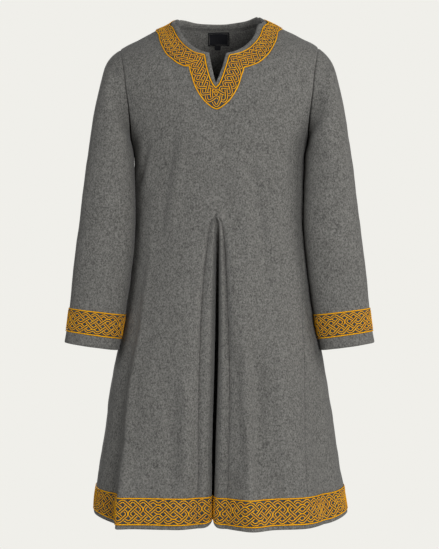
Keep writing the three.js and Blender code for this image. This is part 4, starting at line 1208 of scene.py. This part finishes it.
class TUNIC_OT_godet(bpy.types.Operator):
    """Builds the front godet, folded inwards down its middle"""
    bl_idname = "tunic.godet"
    bl_label = "Front godet"

    def execute(self, context):
        cell = context.scene.tunic.cell / MM
        half = np.concatenate([
            [0, 0.04, 0.09], np.linspace(0.16, 1, 13), np.linspace(1, 2, 15)[1:], np.linspace(2, 3, 5)[1:]])
        columns = np.concatenate([half, 6 - half[-2::-1]])
        down = even(GODET_TOP, HEM, cell)
        points = godet_surface(columns[None, :], down[:, None])
        normals = godet_normal(columns[None, :], down[:, None])
        for side, share in ((-1, columns), (1, 6 - columns)):
            seam = body_normal(turn_at(side_of(GODET, side, down), down), down)
            normals = unit(mix(normals, seam[:, None], np.exp(-(share / 0.2) ** 2)[None, :, None]))
        points = dipped(points, normals, [points[:, 0], points[:, -1]], under_band(down, BAND_TOP))
        points[0] = points[0, 0]
        points, normals = tucked(points, normals)
        points = with_hem(points, normals, hem_direction(points))
        godet = cloth("godet_cloth", [points], ["front_godet"])
        return {"FINISHED"}


class TUNIC_OT_gores(bpy.types.Operator):
    """Builds the flared side gores"""
    bl_idname = "tunic.gores"
    bl_label = "Side gores"

    def execute(self, context):
        cell = context.scene.tunic.cell / MM
        shares = even(0, 1, cell / GORE_WIDE, (0.004, 0.009))
        down = even(UNDERARM, HEM, cell, (1.0, 2.2))
        for name, side in (("left", -1), ("right", 1)):
            seam = GORE_SEAM["turn"](down)[:, None]
            turn = side * mix(seam, 180 - seam, shares[None, :])
            points, normals = body(turn, down[:, None]), body_normal(turn, down[:, None])
            seams = [points[:, 0], points[:, -1]] if side > 0 else [points[:, -1]]
            points = dipped(points, normals, seams, GORE_SEAM_DEEPER * under_band(down, BAND_TOP))
            points[0] = points[0].mean(0)
            points, normals = tucked(points, normals)
            points = with_hem(points, normals, hem_direction(points))
            points = points if side > 0 else points[:, ::-1]
            gore = cloth(f"gore_cloth_{name}", [points], [f"side_gore_{name}"])
        return {"FINISHED"}


class TUNIC_OT_sleeves(bpy.types.Operator):
    """Builds the straight sleeves"""
    bl_idname = "tunic.sleeves"
    bl_label = "Sleeves"

    def execute(self, context):
        cell = context.scene.tunic.cell / MM
        around = np.unique(np.concatenate([even(0, 360, 4.5), [178.0, 179.0, 181.0, 182.0]]))
        along = np.unique(np.concatenate([even(0, CUFF, cell), [1, 2.2, 3.4]]))
        for name, side in (("left", -1), ("right", 1)):
            points = sleeve(along[:, None], around[None, :], side)
            normals = sleeve_normal(along[:, None], around[None, :], side)
            under = int(np.argmin(np.abs(around - 180)))
            seams = [points[0], points[:, under]]
            points = dipped(points, normals, seams, under_band(along, CUFF_BAND[0]))
            points = with_hem(points, normals, hem_direction(points))
            points[:, -1] = points[:, 0]
            points = points[:, ::-1] if side > 0 else points
            piece = cloth(f"sleeve_cloth_{name}", [points], [f"sleeve_{name}"])
        return {"FINISHED"}


class TUNIC_OT_neck(bpy.types.Operator):
    """Builds the rolled binding round the neck and down the slit, with its topstitching"""
    bl_idname = "tunic.neck"
    bl_label = "Neck binding"

    def execute(self, context):
        steps = neck_steps(0.025, 0.045, 0.03)
        strip = rounded(neck_strip("edge", "seam", steps, 5), steps)
        points = np.stack([
            strip.at(strip.places, across, np.full(len(strip.places), lift))[0]
            for across, lift in BINDING_SECTION])
        points[:, -1] = points[:, 0]
        binding = cloth("neck_binding_roll", [points], ["neck_binding"], BINDING_CLOTH)
        places = np.linspace(0, 1, 900, endpoint=False)
        centre, normal = strip.at(places, 0.8, np.zeros(900))
        stitches("neck_topstitch", centre, normal, 1.45, 2.4, 1.0, grey_thread())
        return {"FINISHED"}


class TUNIC_OT_bands(bpy.types.Operator):
    """Builds the bands of gold interlace at the neck, cuffs and hem"""
    bl_idname = "tunic.bands"
    bl_label = "Interlace bands"

    def execute(self, context):
        hem = hem_strip()
        band_ground("hem_band_ground", hem, 640, 12, ["hem_trim"])
        interlace("hem_interlace", hem, 168, 5, 0.09, HEM_KNOT, 4.4, 1.95)
        for name, side in (("left", -1), ("right", 1)):
            cuff = cuff_strip(side)
            band_ground(f"cuff_band_ground_{name}", cuff, 120, 10, [f"cuff_trim_{name}"])
            interlace(f"cuff_interlace_{name}", cuff, 36, 5, 0.1, CUFF_KNOT, 3.9, 1.75)
        steps = neck_steps(0.015, 0.02, 0.02)
        neck = neck_strip("seam", "outer", steps, 13, square=True)
        tip, shoulder = (neck.places[int(np.argmin(np.abs(steps - q)))] for q in (2, 4))
        band_ground("neck_band_ground_front", neck, 220, 9, ["neck_trim_front"],
                    (0, shoulder))
        band_ground("neck_band_ground_back", neck, 110, 7, ["neck_trim_back"],
                    (shoulder, 1))
        interlace("neck_interlace", neck, 120, 3, 0.115, NECK_KNOT, 4.1, 1.5, tip)
        return {"FINISHED"}


def label_curl(share):
    """How far a label stands off the neck, by the share of its length from its sewn top."""
    return 0.5 * np.sin(np.pi * share) + 0.6 * share ** 3


class TUNIC_OT_labels(bpy.types.Operator):
    """Builds the plain woven neck label and the small tab under it"""
    bl_idname = "tunic.labels"
    bl_label = "Neck labels"

    def execute(self, context):
        for name, node, (left, right, top, bottom), behind in (
                ("neck_label_ribbon", "neck_label", NECK_LABEL, LABEL_BEHIND),
                ("size_tab_ribbon", "size_tab", SIZE_TAB, TAB_BEHIND)):
            x = np.linspace(left, right, 25)
            down = np.linspace(top, bottom, 17)[:, None]
            turn = 180 - turn_at(x[None, :], down)
            inward = behind + label_curl((down - top) / (bottom - top))
            points = body(turn, down) - body_normal(turn, down) * inward[..., None]
            piece = cloth(name, [points], [node], LABEL_CLOTH, label_material())
        left, right, top, bottom = NECK_LABEL
        bm = bmesh.new()
        corners = [(left + BORDER_IN, top + BORDER_IN), (right - BORDER_IN, top + BORDER_IN),
                   (right - BORDER_IN, bottom - BORDER_IN), (left + BORDER_IN, bottom - BORDER_IN)]
        places = np.concatenate([
            np.linspace(corners[k], corners[(k + 1) % 4], 14, endpoint=False) for k in range(4)])
        turn = 180 - turn_at(places[:, 0], places[:, 1])
        inward = -body_normal(turn, places[:, 1])
        lift = LABEL_BEHIND + label_curl((places[:, 1] - top) / (bottom - top)) + LABEL_CLOTH
        centre = body(turn, places[:, 1]) + inward * lift[:, None]
        thread(bm, centre, inward, np.zeros(len(centre)), 0.7, 0.25)
        finish_threads("label_border", bm, grey_thread())
        return {"FINISHED"}


# ---- Stage ---------------------------------------------------------------------------------------

CAMERA_PLACE, CAMERA_LENS = (0, -3.0, -0.512), 98.4
LIGHTS_AIM = Vector((0, 0, -0.5))
# Area lights: name, place, size and power, and colour
LIGHTS = (
    ("key", (2.81, -1.02, 0.89), 1.6, 54, (1, 0.99, 0.975)),
    ("front", (1.13, -3.1, -0.45), 1.5, 70, (1, 1, 1)),
    ("fill", (-2.66, -1.66, 0.52), 1.8, 42, (0.98, 0.99, 1)),
    ("back", (-0.5, 3.2, 0.6), 2.4, 125, (1, 1, 1)))
WORLD_LIGHT = 0.04
FLOOR_DOWN, FLOOR_RADIUS, FLOOR_FADES = 1.42, 5, (0.9, 1.8)


def set_camera(scene):
    """The camera straight in front, level with the tunic's middle."""
    camera = bpy.data.objects.new("camera", bpy.data.cameras.new("camera"))
    camera.location = CAMERA_PLACE
    camera.rotation_euler = (np.pi / 2, 0, 0)
    camera.data.lens = CAMERA_LENS
    camera.data.sensor_width = 36
    scene.collection.objects.link(camera)
    scene.camera = camera
    scene.view_settings.view_transform = "Standard"


def set_lights(scene):
    """The soft studio lights, all aimed at the tunic."""
    for name, place, size, power, colour in LIGHTS:
        light = bpy.data.objects.new(name, bpy.data.lights.new(name, "AREA"))
        light.data.size = size
        light.data.energy = power
        light.data.color = colour
        light.location = place
        light.rotation_euler = (LIGHTS_AIM - light.location).to_track_quat("-Z", "Y").to_euler()
        scene.collection.objects.link(light)


def set_world(scene, pale):
    """The pale backdrop that the camera sees, which lights the tunic much less."""
    world = bpy.data.worlds.new("studio")
    world.use_nodes = True
    nodes, links = world.node_tree.nodes, world.node_tree.links
    shown = nodes["Background"]
    shown.inputs["Color"].default_value = (*pale, 1)
    lit = nodes.new("ShaderNodeBackground")
    lit.inputs["Color"].default_value = (*pale, 1)
    lit.inputs["Strength"].default_value = WORLD_LIGHT
    seen = nodes.new("ShaderNodeLightPath").outputs["Is Camera Ray"]
    both = nodes.new("ShaderNodeMixShader")
    links.new(seen, both.inputs["Fac"])
    links.new(lit.outputs[0], both.inputs[1])
    links.new(shown.outputs[0], both.inputs[2])
    links.new(both.outputs[0], nodes["World Output"].inputs["Surface"])
    scene.world = world


def set_floor(pale):
    """A round pale floor far under the tunic, which fades out into the backdrop."""
    bm = bmesh.new()
    bmesh.ops.create_circle(bm, cap_ends=True, segments=96, radius=FLOOR_RADIUS)
    bmesh.ops.translate(bm, verts=bm.verts, vec=(0, 0, -FLOOR_DOWN))
    floor = new_mesh("floor", bm)
    material, shader, add, link = node_tree("floor")
    shader.inputs["Base Color"].default_value = (*pale, 1)
    shader.inputs["Roughness"].default_value = 0.9
    place = add("ShaderNodeTexCoord").outputs["Object"]
    far = add("ShaderNodeVectorMath", {0: place}, operation="LENGTH").outputs["Value"]
    fade = add("ShaderNodeMapRange", {"Value": far, "From Min": FLOOR_FADES[0], "From Max": FLOOR_FADES[1]})
    clear = add("ShaderNodeBsdfTransparent")
    both = add("ShaderNodeMixShader",
               {"Fac": fade.outputs["Result"], 1: shader.outputs[0], 2: clear.outputs[0]})
    link(both.outputs[0], material.node_tree.nodes["Material Output"].inputs["Surface"])
    floor.data.materials.append(material)


class TUNIC_OT_stage(bpy.types.Operator):
    """Sets the pale floor, the soft studio lights and the camera"""
    bl_idname = "tunic.stage"
    bl_label = "Stage"

    def execute(self, context):
        pale = context.scene.tunic.floor
        set_camera(context.scene)
        set_lights(context.scene)
        set_world(context.scene, pale)
        set_floor(pale)
        return {"FINISHED"}


# ---- Panel and running ---------------------------------------------------------------------------

class TUNIC_PT_panel(bpy.types.Panel):
    """Lists the tunic's sizes, colours and pieces"""
    bl_idname = "TUNIC_PT_panel"
    bl_label = "Tunic"
    bl_space_type = "VIEW_3D"
    bl_region_type = "UI"
    bl_category = "Tunic"

    def draw(self, context):
        for name in TunicSettings.__annotations__:
            self.layout.prop(context.scene.tunic, name)
        for operator in OPERATORS:
            self.layout.operator(operator.bl_idname)


OPERATORS = (TUNIC_OT_stage, TUNIC_OT_front, TUNIC_OT_back, TUNIC_OT_godet, TUNIC_OT_gores,
             TUNIC_OT_sleeves, TUNIC_OT_neck, TUNIC_OT_bands, TUNIC_OT_labels)


def register():
    for cls in (TunicSettings, *OPERATORS, TUNIC_PT_panel):
        bpy.utils.register_class(cls)
    bpy.types.Scene.tunic = PointerProperty(type=TunicSettings)


def unregister():
    del bpy.types.Scene.tunic
    for cls in reversed((TunicSettings, *OPERATORS, TUNIC_PT_panel)):
        bpy.utils.unregister_class(cls)


def main():
    register()
    for operator in OPERATORS:
        getattr(bpy.ops.tunic, operator.bl_idname.split(".")[1])()


if __name__ == "__main__":
    main()
